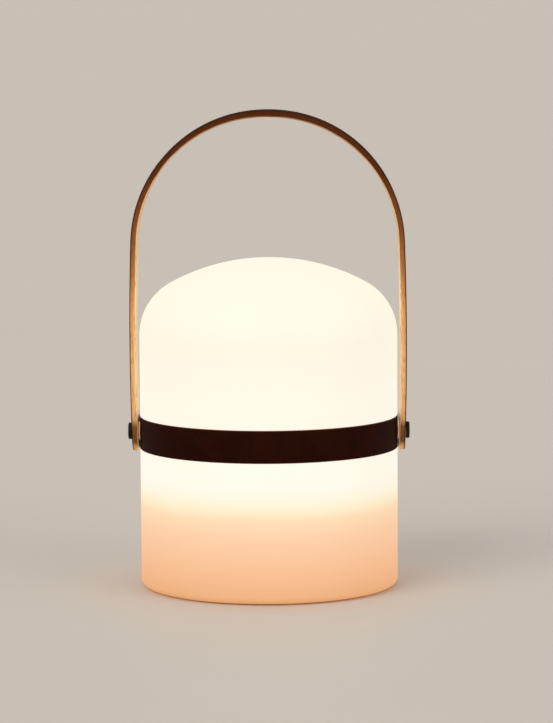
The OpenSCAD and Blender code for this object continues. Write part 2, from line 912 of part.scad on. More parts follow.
module clamp_screws() {
    color([0.7, 0.7, 0.72])
        for (side = [0, 1])
            mirror([0, side, 0])
                translate([0, cradle_w / 2 + clamp_t, cell_z - clamp_drop / 2])
                    rotate([90, 0, 0])
                        screw(m2, clamp_screw_l, m2_head_d, m2_head_h);
}

// From each tab over the cradle's end, down, and in to a terminal block
module battery_leads() {
    bend = 2;
    start_x = cell_l / 2 + tab_t;
    drop_x = cradle_l / 2 + bend;
    end_x = control_w / 2 - 2;
    high = cell_z + wire_d;
    low = control_top + block_h / 2;
    color([0.12, 0.12, 0.12])
        for (side = [0, 1])
            mirror([side, 0, 0]) {
                translate([start_x, 0, high])
                    rotate([0, 90, 0])
                        cylinder(d = wire_d, h = drop_x - bend - start_x, $fn = small_fn);
                translate([drop_x - bend, 0, high - bend])
                    wire_bend(bend, 0);
                translate([drop_x, 0, low + bend])
                    cylinder(d = wire_d, h = high - low - 2 * bend, $fn = small_fn);
                translate([drop_x - bend, 0, low + bend])
                    wire_bend(bend, -90);
                translate([end_x, 0, low])
                    rotate([0, 90, 0])
                        cylinder(d = wire_d, h = drop_x - bend - end_x, $fn = small_fn);
            }
}

// A quarter turn of wire in the plane y = 0, starting at angle a above the X axis
module wire_bend(bend, a) {
    rotate([90, 0, 0])
        rotate([0, 0, a])
            rotate_extrude(angle = 90)
                translate([bend, 0])
                    circle(d = wire_d, $fn = small_fn);
}

// --- control -------------------------------------------------------------

module control_board() {
    color([0.1, 0.35, 0.2])
        translate([0, control_y, control_z])
            difference() {
                translate([-control_w / 2, -control_l / 2, 0])
                    cube([control_w, control_l, board_t]);
                translate([0, 0, -over])
                    corners(control_post_x, control_post_dy)
                        cylinder(d = m2 + hole_gap, h = board_t + 2 * over, $fn = small_fn);
            }
}

// Terminal blocks, driver and charger chips, inductor and capacitor
module control_parts() {
    color([0.08, 0.08, 0.09]) {
        for (side = [-1, 1])
            translate([side * (control_w / 2 - 2 - block_l / 2), 0, control_top + block_h / 2])
                cube([block_l, block_w, block_h], center = true);
        translate([0, port_y, control_top + block_h / 2])
            cube([2 * wire_x + block_l, block_w, block_h], center = true);
        for (side = [-1, 1])
            translate([side * driver_x, driver_y, control_top + driver_h / 2])
                cube([driver_w, driver_w, driver_h], center = true);
        translate([-coil_x, coil_y, control_top])
            cylinder(d = coil_d, h = coil_h);
        translate([coil_x, coil_y, control_top])
            cylinder(d = capacitor_d, h = block_h);
    }
}

module control_screws() {
    color([0.7, 0.7, 0.72])
        translate([0, control_y, control_top])
            corners(control_post_x, control_post_dy)
                mirror([0, 0, 1])
                    screw(m2, board_t + pilot_depth - 1, m2_head_d, m2_head_h);
}

module charging_socket() {
    wall = 0.3;
    depth = 6.5;
    tongue_w = 6.6;
    tongue_t = 0.7;
    color([0.75, 0.75, 0.77])
        translate([0, port_y, recess_top]) {
            difference() {
                linear_extrude(control_z - recess_top)
                    stadium(socket_w, socket_t);
                translate([0, 0, -over])
                    linear_extrude(depth + over)
                        stadium(socket_w - 2 * wall, socket_t - 2 * wall);
            }
            translate([-tongue_w / 2, -tongue_t / 2, tongue_t])
                cube([tongue_w, tongue_t, depth - tongue_t + over / 2]);
        }
}

module switch_housing() {
    color([0.1, 0.1, 0.11])
        difference() {
            translate([-switch_w / 2, -switch_w / 2, switch_z])
                cube([switch_w, switch_w, switch_h]);
            translate([0, 0, switch_z - over])
                cylinder(r = plunger_r + run_fit, h = plunger_grip + button_travel + 0.4 + over);
        }
}

module switch_plunger() {
    color([0.5, 0.1, 0.08])
        translate([0, 0, plunger_z])
            cylinder(r = plunger_r, h = switch_z - plunger_z + plunger_grip);
}

module power_button() {
    color([0.2, 0.2, 0.21])
        difference() {
            union() {
                translate([0, 0, button_z])
                    cylinder(r = button_r, h = button_flange_z + button_flange_t / 2 - button_z);
                translate([0, 0, button_flange_z])
                    cylinder(r = button_r + 1.6, h = button_flange_t);
                translate([0, 0, button_flange_z + button_flange_t / 2])
                    cylinder(r = 2.5, h = plunger_z - button_flange_z - button_flange_t / 2);
            }
            // a shallow dish for the fingertip
            translate([0, 0, button_z + 0.5 - 4 * button_r])
                sphere(4 * button_r);
        }
}

module port_cover() {
    color([0.3, 0.3, 0.31]) {
        translate([0, port_y, cover_z])
            linear_extrude(cover_t)
                difference() {
                    // drawn back from the recess towards the hinge, where it swings past the edge
                    intersection_for (back = [0, drop_gap])
                        translate([0, back])
                            stadium(recess_w - 2 * drop_gap, recess_t - 2 * drop_gap);
                    translate([-recess_w, hinge_y + swing_r - port_y - recess_t])
                        square([2 * recess_w, recess_t]);
                }
        translate([-barrel_l / 2, hinge_y, cover_z])
            cube([barrel_l, recess_t / 2 - drop_gap, cover_t]);
        translate([0, hinge_y, hinge_z])
            rotate([0, 90, 0]) {
                cylinder(r = barrel_r, h = barrel_l, center = true);
                cylinder(r = pin_r, h = barrel_l + 2 * pin_l, center = true, $fn = small_fn);
            }
    }
}

shade_shell();
strap();
strap_rivets();
handle_bow();
pivot_bushes();
pivot_screws();
pivot_washers();
pivot_nuts();
base_plate();
base_seal();
base_screws();
rubber_feet();
inner_housing();
housing_screws();
heat_spreader();
led_board();
led_chips();
led_board_screws();
led_cover();
led_leads();
battery_cradle();
battery_cells();
cell_tabs();
cell_clamp();
clamp_screws();
cradle_screws();
battery_leads();
control_board();
control_parts();
control_screws();
charging_socket();
switch_housing();
switch_plunger();
power_button();
port_cover();
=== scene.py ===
# %% [markdown]
# # A lantern table lamp, dressed round its CAD frame
#
# The lamp is a domed opal shade that stands on a rechargeable base. A dark leather strap
# runs round its middle, and a handle of bent wood swings on a screw at each side. The
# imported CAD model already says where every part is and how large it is. What it lacks is
# what a hand and an eye notice: soft edges, grain, glue lines and a shade that is lit.
# This notebook rebuilds the parts that show, paints all the others, and puts the whole
# on a pale floor in soft light.

# %% Load the frame
import json
import math

import bmesh
import bpy
from mathutils import Matrix, Vector


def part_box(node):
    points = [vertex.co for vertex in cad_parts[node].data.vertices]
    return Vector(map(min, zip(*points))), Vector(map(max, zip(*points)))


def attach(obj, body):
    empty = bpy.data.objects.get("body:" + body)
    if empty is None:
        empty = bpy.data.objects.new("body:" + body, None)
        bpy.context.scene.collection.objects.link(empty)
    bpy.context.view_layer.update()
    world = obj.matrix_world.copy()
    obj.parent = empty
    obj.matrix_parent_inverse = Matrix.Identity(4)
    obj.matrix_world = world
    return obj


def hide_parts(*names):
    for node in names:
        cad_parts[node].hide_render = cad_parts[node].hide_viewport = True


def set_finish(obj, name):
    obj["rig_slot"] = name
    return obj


MM = 0.001

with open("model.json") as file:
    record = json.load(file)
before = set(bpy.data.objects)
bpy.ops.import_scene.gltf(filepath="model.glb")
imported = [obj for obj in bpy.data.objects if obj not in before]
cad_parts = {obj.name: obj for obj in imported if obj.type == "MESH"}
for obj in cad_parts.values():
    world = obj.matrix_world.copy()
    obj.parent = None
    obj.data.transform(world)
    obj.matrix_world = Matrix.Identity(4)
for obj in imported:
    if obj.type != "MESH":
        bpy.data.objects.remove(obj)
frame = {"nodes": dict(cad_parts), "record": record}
bpy.context.view_layer.update()

# %% [markdown]
# ## The camera comes first
#
# A camera is a place, a direction and a lens. These were found by fitting the shade's
# outline and the strap's ellipses: a long lens two metres away, a little above the lamp
# and tilted down, with a hair of roll. The shade looks the same from every side, so only
# the handle's legs tell how far round the lamp the camera stands. A long lens keeps the
# lamp's sides parallel, as in a catalogue picture. The lens is given in pixels first,
# because that is what a fit yields, and turned into Blender's millimetres on a sensor
# that is 36 mm tall here, because the picture stands upright.

# %% Camera
PICTURE_HEIGHT_PX = 723
FOCAL_PX = 3348.0
SENSOR_MM = 36
NEAREST_SEEN = 50 * MM
FARTHEST_SEEN = 1000
CAMERA_PLACE = Vector((5.0, -2079.7, 370.4)) * MM
TILT_DOWN = math.radians(6.31)
ROLL = -0.0059
TURN_ROUND_LAMP = math.radians(0.7)

camera_data = bpy.data.cameras.new("camera")
camera_data.sensor_width = SENSOR_MM
camera_data.lens = FOCAL_PX * SENSOR_MM / PICTURE_HEIGHT_PX
camera_data.clip_start = NEAREST_SEEN
camera_data.clip_end = FARTHEST_SEEN
camera = bpy.data.objects.new("camera", camera_data)
camera.matrix_world = (
    Matrix.Rotation(TURN_ROUND_LAMP, 4, "Z")
    @ Matrix.Translation(CAMERA_PLACE)
    @ Matrix.Rotation(math.pi / 2 - TILT_DOWN, 4, "X")
    @ Matrix.Rotation(ROLL, 4, "Z")
)
bpy.context.scene.collection.objects.link(camera)
bpy.context.scene.camera = camera
print("lens in mm:", round(camera_data.lens, 1))

# %% [markdown]
# ## Shader maths that reads as maths
#
# A finish is a graph of small nodes, and a graph written node by node is hard to read.
# So one class wraps an output socket and overloads the signs of arithmetic: `1 - mask`
# adds a Math node and wires it up. Colours are not numbers, so they go through Mix and
# Vector Math nodes instead. Everything else comes from `node`, which sets a node's
# options before it fills its sockets.

# %% A socket that can stand in a sum
class Signal:
    """One number that changes over a surface, ready for use in a sum."""

    def __init__(self, graph, socket):
        self.graph = graph
        self.socket = socket

    def maths(self, operation, first, second):
        return self.graph.node("ShaderNodeMath", {"operation": operation}, {0: first, 1: second})

    def __add__(self, other):
        return self.maths("ADD", self, other)

    def __sub__(self, other):
        return self.maths("SUBTRACT", self, other)

    def __rsub__(self, other):
        return self.maths("SUBTRACT", other, self)

    def __mul__(self, other):
        return self.maths("MULTIPLY", self, other)

    def __truediv__(self, other):
        return self.maths("DIVIDE", self, other)

    def __rtruediv__(self, other):
        return self.maths("DIVIDE", other, self)

    def __abs__(self):
        return self.maths("ABSOLUTE", self, 0)

    def at_most(self, other):
        return self.maths("MINIMUM", self, other)

    __radd__ = __add__
    __rmul__ = __mul__


# %% A graph of nodes
class Graph:
    """The nodes of a material or of the world."""

    def __init__(self, tree):
        self.tree = tree

    def node(self, kind, options, values, output=0):
        new = self.tree.nodes.new(kind)
        for option, setting in options.items():
            if option == "stops":
                self.set_stops(new.color_ramp, setting)
            else:
                setattr(new, option, setting)
        for name, value in values.items():
            self.feed(new.inputs[name], value)
        return Signal(self, new.outputs[output])

    def feed(self, socket, value):
        if isinstance(value, Signal):
            self.tree.links.new(value.socket, socket)
        elif isinstance(value, tuple) and socket.type == "RGBA":
            socket.default_value = (*value, 1)
        else:
            socket.default_value = value

    def set_stops(self, ramp, stops):
        """Stops are pairs of a position and a colour, or a grey level."""
        while len(ramp.elements) < len(stops):
            ramp.elements.new(1)
        for element, (position, colour) in zip(ramp.elements, stops):
            rgb = colour if isinstance(colour, tuple) else (colour,) * 3
            element.position = position
            element.color = (*rgb, 1)


# %% A finish
SHADER_SOCKETS = {
    "base_color": "Base Color",
    "roughness": "Roughness",
    "metallic": "Metallic",
    "normal": "Normal",
    "emission": "Emission Color",
    "emission_strength": "Emission Strength",
    "specular": "Specular IOR Level",
}


class Finish(Graph):
    """A material in the making, with its Principled shader."""

    def __init__(self, name):
        self.material = bpy.data.materials.new(name)
        self.material.use_nodes = True
        super().__init__(self.material.node_tree)
        self.shader = self.tree.nodes["Principled BSDF"]

    def paint(self, **values):
        """Feeds the shader: base_color=..., roughness=... and so on."""
        for name, value in values.items():
            self.feed(self.shader.inputs[SHADER_SOCKETS[name]], value)

    def done(self):
        print(self.material.name, "is made of", len(self.tree.nodes), "nodes")
        return self.material


# %% [markdown]
# ## Patterns in millimetres
#
# Grain looks right only at its real size. All patterns therefore start from a position in
# millimetres, either the object's own coordinates or an attribute that a bent piece
# carries with it, and are stretched before the noise reads them. A noise that is
# stretched forty times along one axis is already a brushed or a grained surface.

# %% Pattern helpers
def place_mm(finish, attribute=None):
    """Where a point is, in millimetres: on the object, or along a bent piece."""
    if attribute:
        metres = finish.node(
            "ShaderNodeAttribute", {"attribute_name": attribute}, {}, output="Vector"
        )
    else:
        metres = finish.node("ShaderNodeTexCoord", {}, {}, output="Object")
    return finish.node(
        "ShaderNodeVectorMath", {"operation": "SCALE"}, {0: metres, "Scale": 1 / MM}
    )


def along(finish, place, axis):
    """One coordinate of a place, as a number."""
    return finish.node("ShaderNodeSeparateXYZ", {}, {0: place}, output=axis)


def cloud(finish, place, size, detail=2.0, stretch=(1, 1, 1), distortion=0.0):
    """Soft noise from 0 to 1 whose blotches are about size millimetres across."""
    stretched = finish.node(
        "ShaderNodeVectorMath",
        {"operation": "DIVIDE"},
        {0: place, 1: tuple(size * s for s in stretch)},
    )
    return finish.node(
        "ShaderNodeTexNoise",
        {},
        {"Vector": stretched, "Scale": 1.0, "Detail": detail, "Distortion": distortion},
    )


def cells(finish, place, size):
    """How far a point is from the edge of its cell, in cells of about size millimetres."""
    return finish.node(
        "ShaderNodeTexVoronoi",
        {"feature": "DISTANCE_TO_EDGE"},
        {"Vector": place, "Scale": 1 / size},
    )


# %% Colour and relief helpers
# A Mix node has a set of sockets for each kind of value, and these are the ones for colours.
MIX_AMOUNT = 0
MIX_FIRST = 6
MIX_SECOND = 7
MIX_RESULT = 2


def blend_colours(finish, amount, first, second, how="MIX"):
    """A Mix node: first where amount is 0, second where it is 1."""
    return finish.node(
        "ShaderNodeMix",
        {"data_type": "RGBA", "blend_type": how},
        {MIX_AMOUNT: amount, MIX_FIRST: first, MIX_SECOND: second},
        output=MIX_RESULT,
    )


def multiply(finish, first, second):
    """Tints one colour with another, or shades it with a grey level."""
    return blend_colours(finish, 1.0, first, second, "MULTIPLY")


def ramp(finish, level, *stops):
    """A colour ramp; its stops are given from low to high."""
    return finish.node("ShaderNodeValToRGB", {"stops": stops}, {"Fac": level})


def relief(finish, height, depth):
    """Bumps the shading by depth millimetres where height goes from 0 to 1."""
    return finish.node("ShaderNodeBump", {}, {"Height": height, "Distance": depth * MM})


# %% [markdown]
# ## From a bmesh to a piece of the lamp
#
# Every new shape ends the same way: its normals are made to agree, it becomes an object
# whose place is in its mesh, it takes the place of a CAD node, and it rides on that
# node's body, so that it moves when the joint does. Edges sharper than a limit stay
# crisp, and all others are shaded smooth.

# %% From bmesh to piece
CRISP_ANGLE = math.radians(38)


def add_piece(name, shape, body, slot, stands_for):
    bmesh.ops.recalc_face_normals(shape, faces=shape.faces)
    mesh = bpy.data.meshes.new(name)
    shape.to_mesh(mesh)
    shape.free()
    mesh.shade_smooth()
    mesh.set_sharp_from_angle(angle=CRISP_ANGLE)
    piece = bpy.data.objects.new(name, mesh)
    bpy.context.scene.collection.objects.link(piece)
    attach(piece, body)
    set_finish(piece, slot)
    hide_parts(stands_for)
    print(name, "has", len(mesh.polygons), "faces")
    return piece


# %% Outline helpers
def arc(centre, radius, first, last, steps):
    """Points of an arc in the XZ plane, in metres; angles are in degrees from the X axis."""
    angles = [math.radians(first + (last - first) * i / steps) for i in range(steps + 1)]
    return [centre + radius * Vector((math.cos(a), 0, math.sin(a))) for a in angles]


def outline(points, closed=False):
    """A bmesh that holds a chain of edges through the points, and its vertices in order."""
    shape = bmesh.new()
    chain = [shape.verts.new(point) for point in points]
    for pair in zip(chain, chain[1:]):
        shape.edges.new(pair)
    if closed:
        shape.edges.new((chain[-1], chain[0]))
    return shape, chain


def everything(shape):
    return shape.verts[:] + shape.edges[:] + shape.faces[:]


def verts_among(geometry):
    return [part for part in geometry if isinstance(part, bmesh.types.BMVert)]


def soften(shape, corners, radius, segments=3):
    """Rounds corners of a flat outline, before it is turned or swept."""
    bmesh.ops.bevel(
        shape,
        geom=corners,
        offset=radius,
        segments=segments,
        profile=0.5,
        affect="VERTICES",
        material=-1,
    )


# %% The lathe
SAME_PLACE = 0.001 * MM


def turn(shape, steps, angle=math.tau):
    """Spins whatever the bmesh holds about the Z axis."""
    bmesh.ops.spin(
        shape,
        geom=everything(shape),
        cent=(0, 0, 0),
        axis=(0, 0, 1),
        angle=angle,
        steps=steps,
        use_merge=angle == math.tau,
    )
    bmesh.ops.remove_doubles(shape, verts=shape.verts, dist=SAME_PLACE)


# %% [markdown]
# ## The opal shade
#
# The real shade is one blown or moulded shell of opal plastic, about 3 mm thick, with a
# shallow groove that locates the strap. A shape that is the same all round is best made
# by turning half of its section: two arcs that run into each other for the dome, a
# straight wall, a rounded foot, and a ledge and the same two arcs inside. A Screw modifier
# would do, but the spin operator leaves a plain mesh. The groove's lips and the ledge's
# edges are rounded in the section, where one call rounds them all.

# %% Shade: sizes
shade_low, shade_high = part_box("shade_shell")
strap_low, strap_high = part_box("strap")
SHADE_RADIUS = shade_high.x
CROWN_RADIUS = 128 * MM
KNUCKLE_RADIUS = 36.5 * MM
SHADE_WALL = 2.8 * MM
HEEL_RADIUS = 4 * MM
GROOVE_DEPTH = 1 * MM
GROOVE_GAP = 0.1 * MM
REBATE_RADIUS = SHADE_RADIUS - 6 * MM
LEDGE_RADIUS = REBATE_RADIUS - 7 * MM
LEDGE_UNDER = 4.4 * MM
LEDGE_OVER = 7.4 * MM
SOFT_LIP = 0.25 * MM
CROWN_STEPS = 20
KNUCKLE_STEPS = 18
HEEL_STEPS = 8
ROUND_STEPS = 192

crown_centre = Vector((0, 0, shade_high.z - CROWN_RADIUS))
knuckle_x = SHADE_RADIUS - KNUCKLE_RADIUS
knuckle_rise = math.sqrt((CROWN_RADIUS - KNUCKLE_RADIUS) ** 2 - knuckle_x**2)
knuckle_centre = crown_centre + Vector((knuckle_x, 0, knuckle_rise))
crown_edge = math.degrees(math.atan2(knuckle_rise, knuckle_x))
print("the crown meets the knuckle", round(crown_edge, 1), "degrees up")

# %% Shade: shape
def wall_point(radius, height):
    return Vector((radius, 0, height))


outside = (
    arc(crown_centre, CROWN_RADIUS, 90, crown_edge, CROWN_STEPS)
    + arc(knuckle_centre, KNUCKLE_RADIUS, crown_edge, 0, KNUCKLE_STEPS)[1:]
)
groove = [
    wall_point(SHADE_RADIUS, strap_high.z + GROOVE_GAP),
    wall_point(SHADE_RADIUS - GROOVE_DEPTH, strap_high.z + GROOVE_GAP),
    wall_point(SHADE_RADIUS - GROOVE_DEPTH, strap_low.z - GROOVE_GAP),
    wall_point(SHADE_RADIUS, strap_low.z - GROOVE_GAP),
]
heel_centre = wall_point(SHADE_RADIUS - HEEL_RADIUS, shade_low.z + HEEL_RADIUS)
heel = arc(heel_centre, HEEL_RADIUS, 0, -90, HEEL_STEPS)
ledge = [
    wall_point(REBATE_RADIUS, shade_low.z),
    wall_point(REBATE_RADIUS, LEDGE_UNDER),
    wall_point(LEDGE_RADIUS, LEDGE_UNDER),
    wall_point(LEDGE_RADIUS, LEDGE_OVER),
    wall_point(SHADE_RADIUS - SHADE_WALL, LEDGE_OVER),
]
inside = (
    arc(knuckle_centre, KNUCKLE_RADIUS - SHADE_WALL, 0, crown_edge, KNUCKLE_STEPS)
    + arc(crown_centre, CROWN_RADIUS - SHADE_WALL, crown_edge, 90, CROWN_STEPS)[1:]
)
section, chain = outline(outside + groove + heel + ledge + inside)
lips = chain[len(outside) : len(outside) + len(groove)]
ledge_start = len(outside) + len(groove) + len(heel)
edges_of_ledge = chain[ledge_start : ledge_start + len(ledge) - 1]
soften(section, lips + edges_of_ledge, SOFT_LIP)
turn(section, ROUND_STEPS)
shade = add_piece("opal_dome", section, "lamp_body", "opal_shade", "shade_shell")

# %% [markdown]
# ## The leather strap
#
# The strap is a flat band of leather, let into the groove and closed by a butt joint at
# the back, where four rivets hold its ends. It is swept like the shade, but from a closed
# section with rounded edges, and not quite all the way: a face that is spun part of a
# turn keeps its two ends, so the joint stays open by the width that the CAD gives it.

# %% Strap: shape
STRAP_THICKNESS = 1.2 * MM
STRAP_JOINT = 0.6 * MM
STRAP_EDGE = 0.35 * MM
strap_outer = strap_high.x
strap_inner = strap_outer - STRAP_THICKNESS
half_joint = math.asin(STRAP_JOINT / 2 / strap_outer)

band, corners = outline(
    [
        wall_point(strap_inner, strap_low.z),
        wall_point(strap_outer, strap_low.z),
        wall_point(strap_outer, strap_high.z),
        wall_point(strap_inner, strap_high.z),
    ],
    closed=True,
)
soften(band, corners, STRAP_EDGE)
bmesh.ops.contextual_create(band, geom=band.edges[:])
bmesh.ops.rotate(
    band, verts=band.verts[:], matrix=Matrix.Rotation(math.pi / 2 + half_joint, 3, "Z")
)
turn(band, ROUND_STEPS, math.tau - 2 * half_joint)
strap = add_piece("leather_strap", band, "lamp_body", "dark_leather", "strap")

# %% [markdown]
# ## The bent handle
#
# A handle like this starts as a flat strip: thin sheets of wood are glued together, cut
# to a long shape with round ends, drilled, eased at the edges, and bent over a form. It
# could be made here by sweeping a section along a curve, but then the round ends and the
# holes would have to be cut through curved wood. So the mesh is made in the maker's
# order. It starts flat, and the bend comes last, as one rule for where each point goes.
# Each point also keeps a note of where it was on the flat strip, and that note later
# makes the grain and the glue lines follow the bend.

# %% Handle: sizes
handle_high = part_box("handle_bow")[1]
STRIP_THICKNESS = 4.2 * MM
CROWN_BEND_RADIUS = 94 * MM
SHOULDER_TURN = math.radians(81)
LEG_LEAN = math.radians(1.7)
LEG_BULGE = math.radians(2)
END_RADIUS = 12.4 * MM
BUSH_HOLE_RADIUS = 3.5 * MM
SPOT_FACE_RADIUS = 5.75 * MM
SPOT_FACE_DEPTH = 0.2 * MM
EASED_EDGE = 0.9 * MM
EASED_SEGMENTS = 4
CORNER_REACH = 3.2 * MM
CORNER_SEGMENTS = 6
pivot_height = (strap_low.z + strap_high.z) / 2
strip_half_width = handle_high.y
print("the handle swings at this height in mm:", round(pivot_height / MM, 2))

# %% [markdown]
# The bend has three arcs on each side, each running smoothly into the next: a leg that is
# almost straight, a shoulder, and the shallow crown that both sides share. The crown's
# radius and the angles are chosen. The other two radii follow from how wide and how high
# the handle is, and come out of two equations in two unknowns.

# %% Handle: the bend
def bend_radii():
    """Outer radii of leg and shoulder that bring the handle to its width and height."""
    leg_across = 1 - math.cos(LEG_BULGE)
    shoulder_across = math.cos(LEG_BULGE) - math.cos(SHOULDER_TURN)
    leg_up = math.sin(LEG_LEAN) + math.sin(LEG_BULGE)
    shoulder_up = math.sin(SHOULDER_TURN) - math.sin(LEG_BULGE)
    across = handle_high.x - CROWN_BEND_RADIUS * math.cos(SHOULDER_TURN)
    up = handle_high.z - pivot_height - CROWN_BEND_RADIUS * (1 - math.sin(SHOULDER_TURN))
    shares = Matrix(((leg_across, shoulder_across), (leg_up, shoulder_up)))
    return shares.inverted() @ Vector((across, up))


LEG_RADIUS, SHOULDER_RADIUS = bend_radii()


def step_back(centre, radius, next_radius, angle):
    """Centre of the arc that runs into this one at that angle."""
    return centre + (radius - next_radius) * Vector((math.cos(angle), 0, math.sin(angle)))


crown_bend_centre = Vector((0, 0, handle_high.z - CROWN_BEND_RADIUS))
shoulder_centre = step_back(
    crown_bend_centre, CROWN_BEND_RADIUS, SHOULDER_RADIUS, SHOULDER_TURN
)
leg_centre = step_back(shoulder_centre, SHOULDER_RADIUS, LEG_RADIUS, LEG_BULGE)
BEND = (
    (crown_bend_centre, CROWN_BEND_RADIUS, math.pi / 2, SHOULDER_TURN),
    (shoulder_centre, SHOULDER_RADIUS, SHOULDER_TURN, LEG_BULGE),
    (leg_centre, LEG_RADIUS, LEG_BULGE, -LEG_LEAN),
)
half_length = sum(
    (radius - STRIP_THICKNESS / 2) * (start - end) for _, radius, start, end in BEND
)
print("leg radius in mm:", round(LEG_RADIUS / MM, 1))
print("shoulder radius in mm:", round(SHOULDER_RADIUS / MM, 1))
print("flat strip between the holes in mm:", round(2 * half_length / MM, 1))


def bent(flat):
    """Where a point of the flat strip goes: x is along it, y across, z through it."""
    way = abs(flat.x)
    for centre, radius, start, end in BEND:
        middle = radius - STRIP_THICKNESS / 2
        angle = start - way / middle
        if angle >= end or centre is leg_centre:
            break
        way -= middle * (start - end)
    reach = middle + flat.z
    x = centre.x + reach * math.cos(angle)
    return Vector((math.copysign(x, flat.x), flat.y, centre.z + reach * math.sin(angle)))


# %% Handle: the flat outline
HALF_END_STEPS = 12
ROUND_END_STEPS = 8
corner_angle = math.degrees(math.asin(strip_half_width / END_RADIUS))

# The steps next to each corner are left out, to make room for rounding it.
END_STEPS = [
    -HALF_END_STEPS,
    *range(-ROUND_END_STEPS, ROUND_END_STEPS + 1),
    HALF_END_STEPS,
]
print("each end starts from", len(END_STEPS), "points")


def strip_outline():
    """A long flat shape with round ends, in the XY plane."""
    ends = []
    for side in (1, -1):
        for step in END_STEPS:
            angle = math.radians(corner_angle * step / HALF_END_STEPS)
            if side < 0:
                angle += math.pi
            ends.append(
                Vector((side * half_length, 0, 0))
                + END_RADIUS * Vector((math.cos(angle), math.sin(angle), 0))
            )
    return ends


# %% Handle: the flat strip
MANY_CORNERS = 8


def broad_faces():
    """The strip's two big faces, which have far more corners than all others."""
    return [face for face in strip.faces if len(face.verts) > MANY_CORNERS]


strip, rim = outline(strip_outline(), closed=True)
last = len(END_STEPS)
sharp_corners = [rim[0], rim[last - 1], rim[last], rim[-1]]
soften(strip, sharp_corners, CORNER_REACH, segments=CORNER_SEGMENTS)
bmesh.ops.translate(strip, verts=strip.verts[:], vec=(0, 0, -STRIP_THICKNESS / 2))
blank = bmesh.ops.contextual_create(strip, geom=strip.edges[:])["faces"]
lifted = verts_among(bmesh.ops.extrude_face_region(strip, geom=blank)["geom"])
bmesh.ops.translate(strip, verts=lifted, vec=(0, 0, STRIP_THICKNESS))
rim_edges = {edge for face in broad_faces() for edge in face.edges}
bmesh.ops.bevel(
    strip,
    geom=list(rim_edges),
    offset=EASED_EDGE,
    segments=EASED_SEGMENTS,
    profile=0.5,
    affect="EDGES",
    material=-1,
)
print("the flat strip has", len(strip.faces), "faces before it is drilled")

# %% [markdown]
# Drilling a mesh needs no boolean here. The two broad faces are taken away, a circle is
# drawn where each hole comes out, and the space between rim and circles is filled again.
# Bridging circle to circle makes the walls. On the inside each hole has a wider, shallow
# step, the spot face, in which the flange of a bush will sit. Then the strip is cut
# across every 3 mm, because only a mesh with vertices along its length can bend.

# %% Handle: drilled
HOLE_STEPS = 48


def ring(side, radius, height):
    """Edges of a circle round a hole's axis."""
    circle = bmesh.ops.create_circle(
        strip,
        cap_ends=False,
        segments=HOLE_STEPS,
        radius=radius,
        matrix=Matrix.Translation((side * half_length, 0, height)),
    )["verts"]
    return list({edge for vert in circle for edge in vert.link_edges})


spot_floor = SPOT_FACE_DEPTH - STRIP_THICKNESS / 2
opened = broad_faces()
rims = {}
for face in opened:
    rims["outer" if face.calc_center_median().z > 0 else "inner"] = face.edges[:]
bmesh.ops.delete(strip, geom=opened, context="FACES_ONLY")
for side in (1, -1):
    steps = [
        ring(side, SPOT_FACE_RADIUS, -STRIP_THICKNESS / 2),
        ring(side, SPOT_FACE_RADIUS, spot_floor),
        ring(side, BUSH_HOLE_RADIUS, spot_floor),
        ring(side, BUSH_HOLE_RADIUS, STRIP_THICKNESS / 2),
    ]
    rims["inner"].extend(steps[0])
    rims["outer"].extend(steps[-1])
    for pair in zip(steps, steps[1:]):
        bmesh.ops.bridge_loops(strip, edges=pair[0] + pair[1])
for rim in rims.values():
    bmesh.ops.triangle_fill(strip, use_beauty=True, use_dissolve=False, edges=rim)
print("drilled, the flat strip has", len(strip.faces), "faces")

# %% Handle: bent
FLANGE_OUTER = 81.45 * MM
BEND_STEP = 3 * MM
CUT_TOLERANCE = 0.0001 * MM
cuts = math.ceil((half_length + END_RADIUS) / BEND_STEP)
for cut in range(-cuts, cuts + 1):
    bmesh.ops.bisect_plane(
        strip,
        geom=everything(strip),
        dist=CUT_TOLERANCE,
        plane_co=(cut * BEND_STEP, 0, 0),
        plane_no=(1, 0, 0),
    )
flat_place = strip.verts.layers.float_vector.new("flat_place")
for vert in strip.verts:
    vert[flat_place] = vert.co
    on_spot_floor = abs(vert.co.z - spot_floor) < SAME_PLACE
    vert.co = bent(vert.co)
    if on_spot_floor:
        vert.co.x = math.copysign(FLANGE_OUTER, vert.co.x)
print("the bent strip has", len(strip.faces), "faces")
handle = add_piece("wood_handle", strip, "handle", "bent_oak", "handle_bow")

# %% [markdown]
# ## Screws, flanges and rivets
#
# Small turned parts carry a lot of the likeness, because their rounded edges catch the
# light. Each is the half section of a part that stands upright on the Z axis, spun, and
# then laid along the pivot axis with a mirrored twin. The screw's hexagonal socket is
# spun round as well, and its wall is then pressed to six flats.

# %% Turned parts on the pivots
TURNED_STEPS = 72


def lay_at_pivots(shape):
    """Lays a part that was made along Z outwards along X at both pivots."""
    bmesh.ops.rotate(shape, verts=shape.verts[:], matrix=Matrix.Rotation(math.pi / 2, 3, "Y"))
    bmesh.ops.translate(shape, verts=shape.verts[:], vec=(0, 0, pivot_height))
    bmesh.ops.recalc_face_normals(shape, faces=shape.faces)
    twin = verts_among(bmesh.ops.duplicate(shape, geom=everything(shape))["geom"])
    bmesh.ops.scale(shape, verts=twin, vec=(-1, 1, 1))


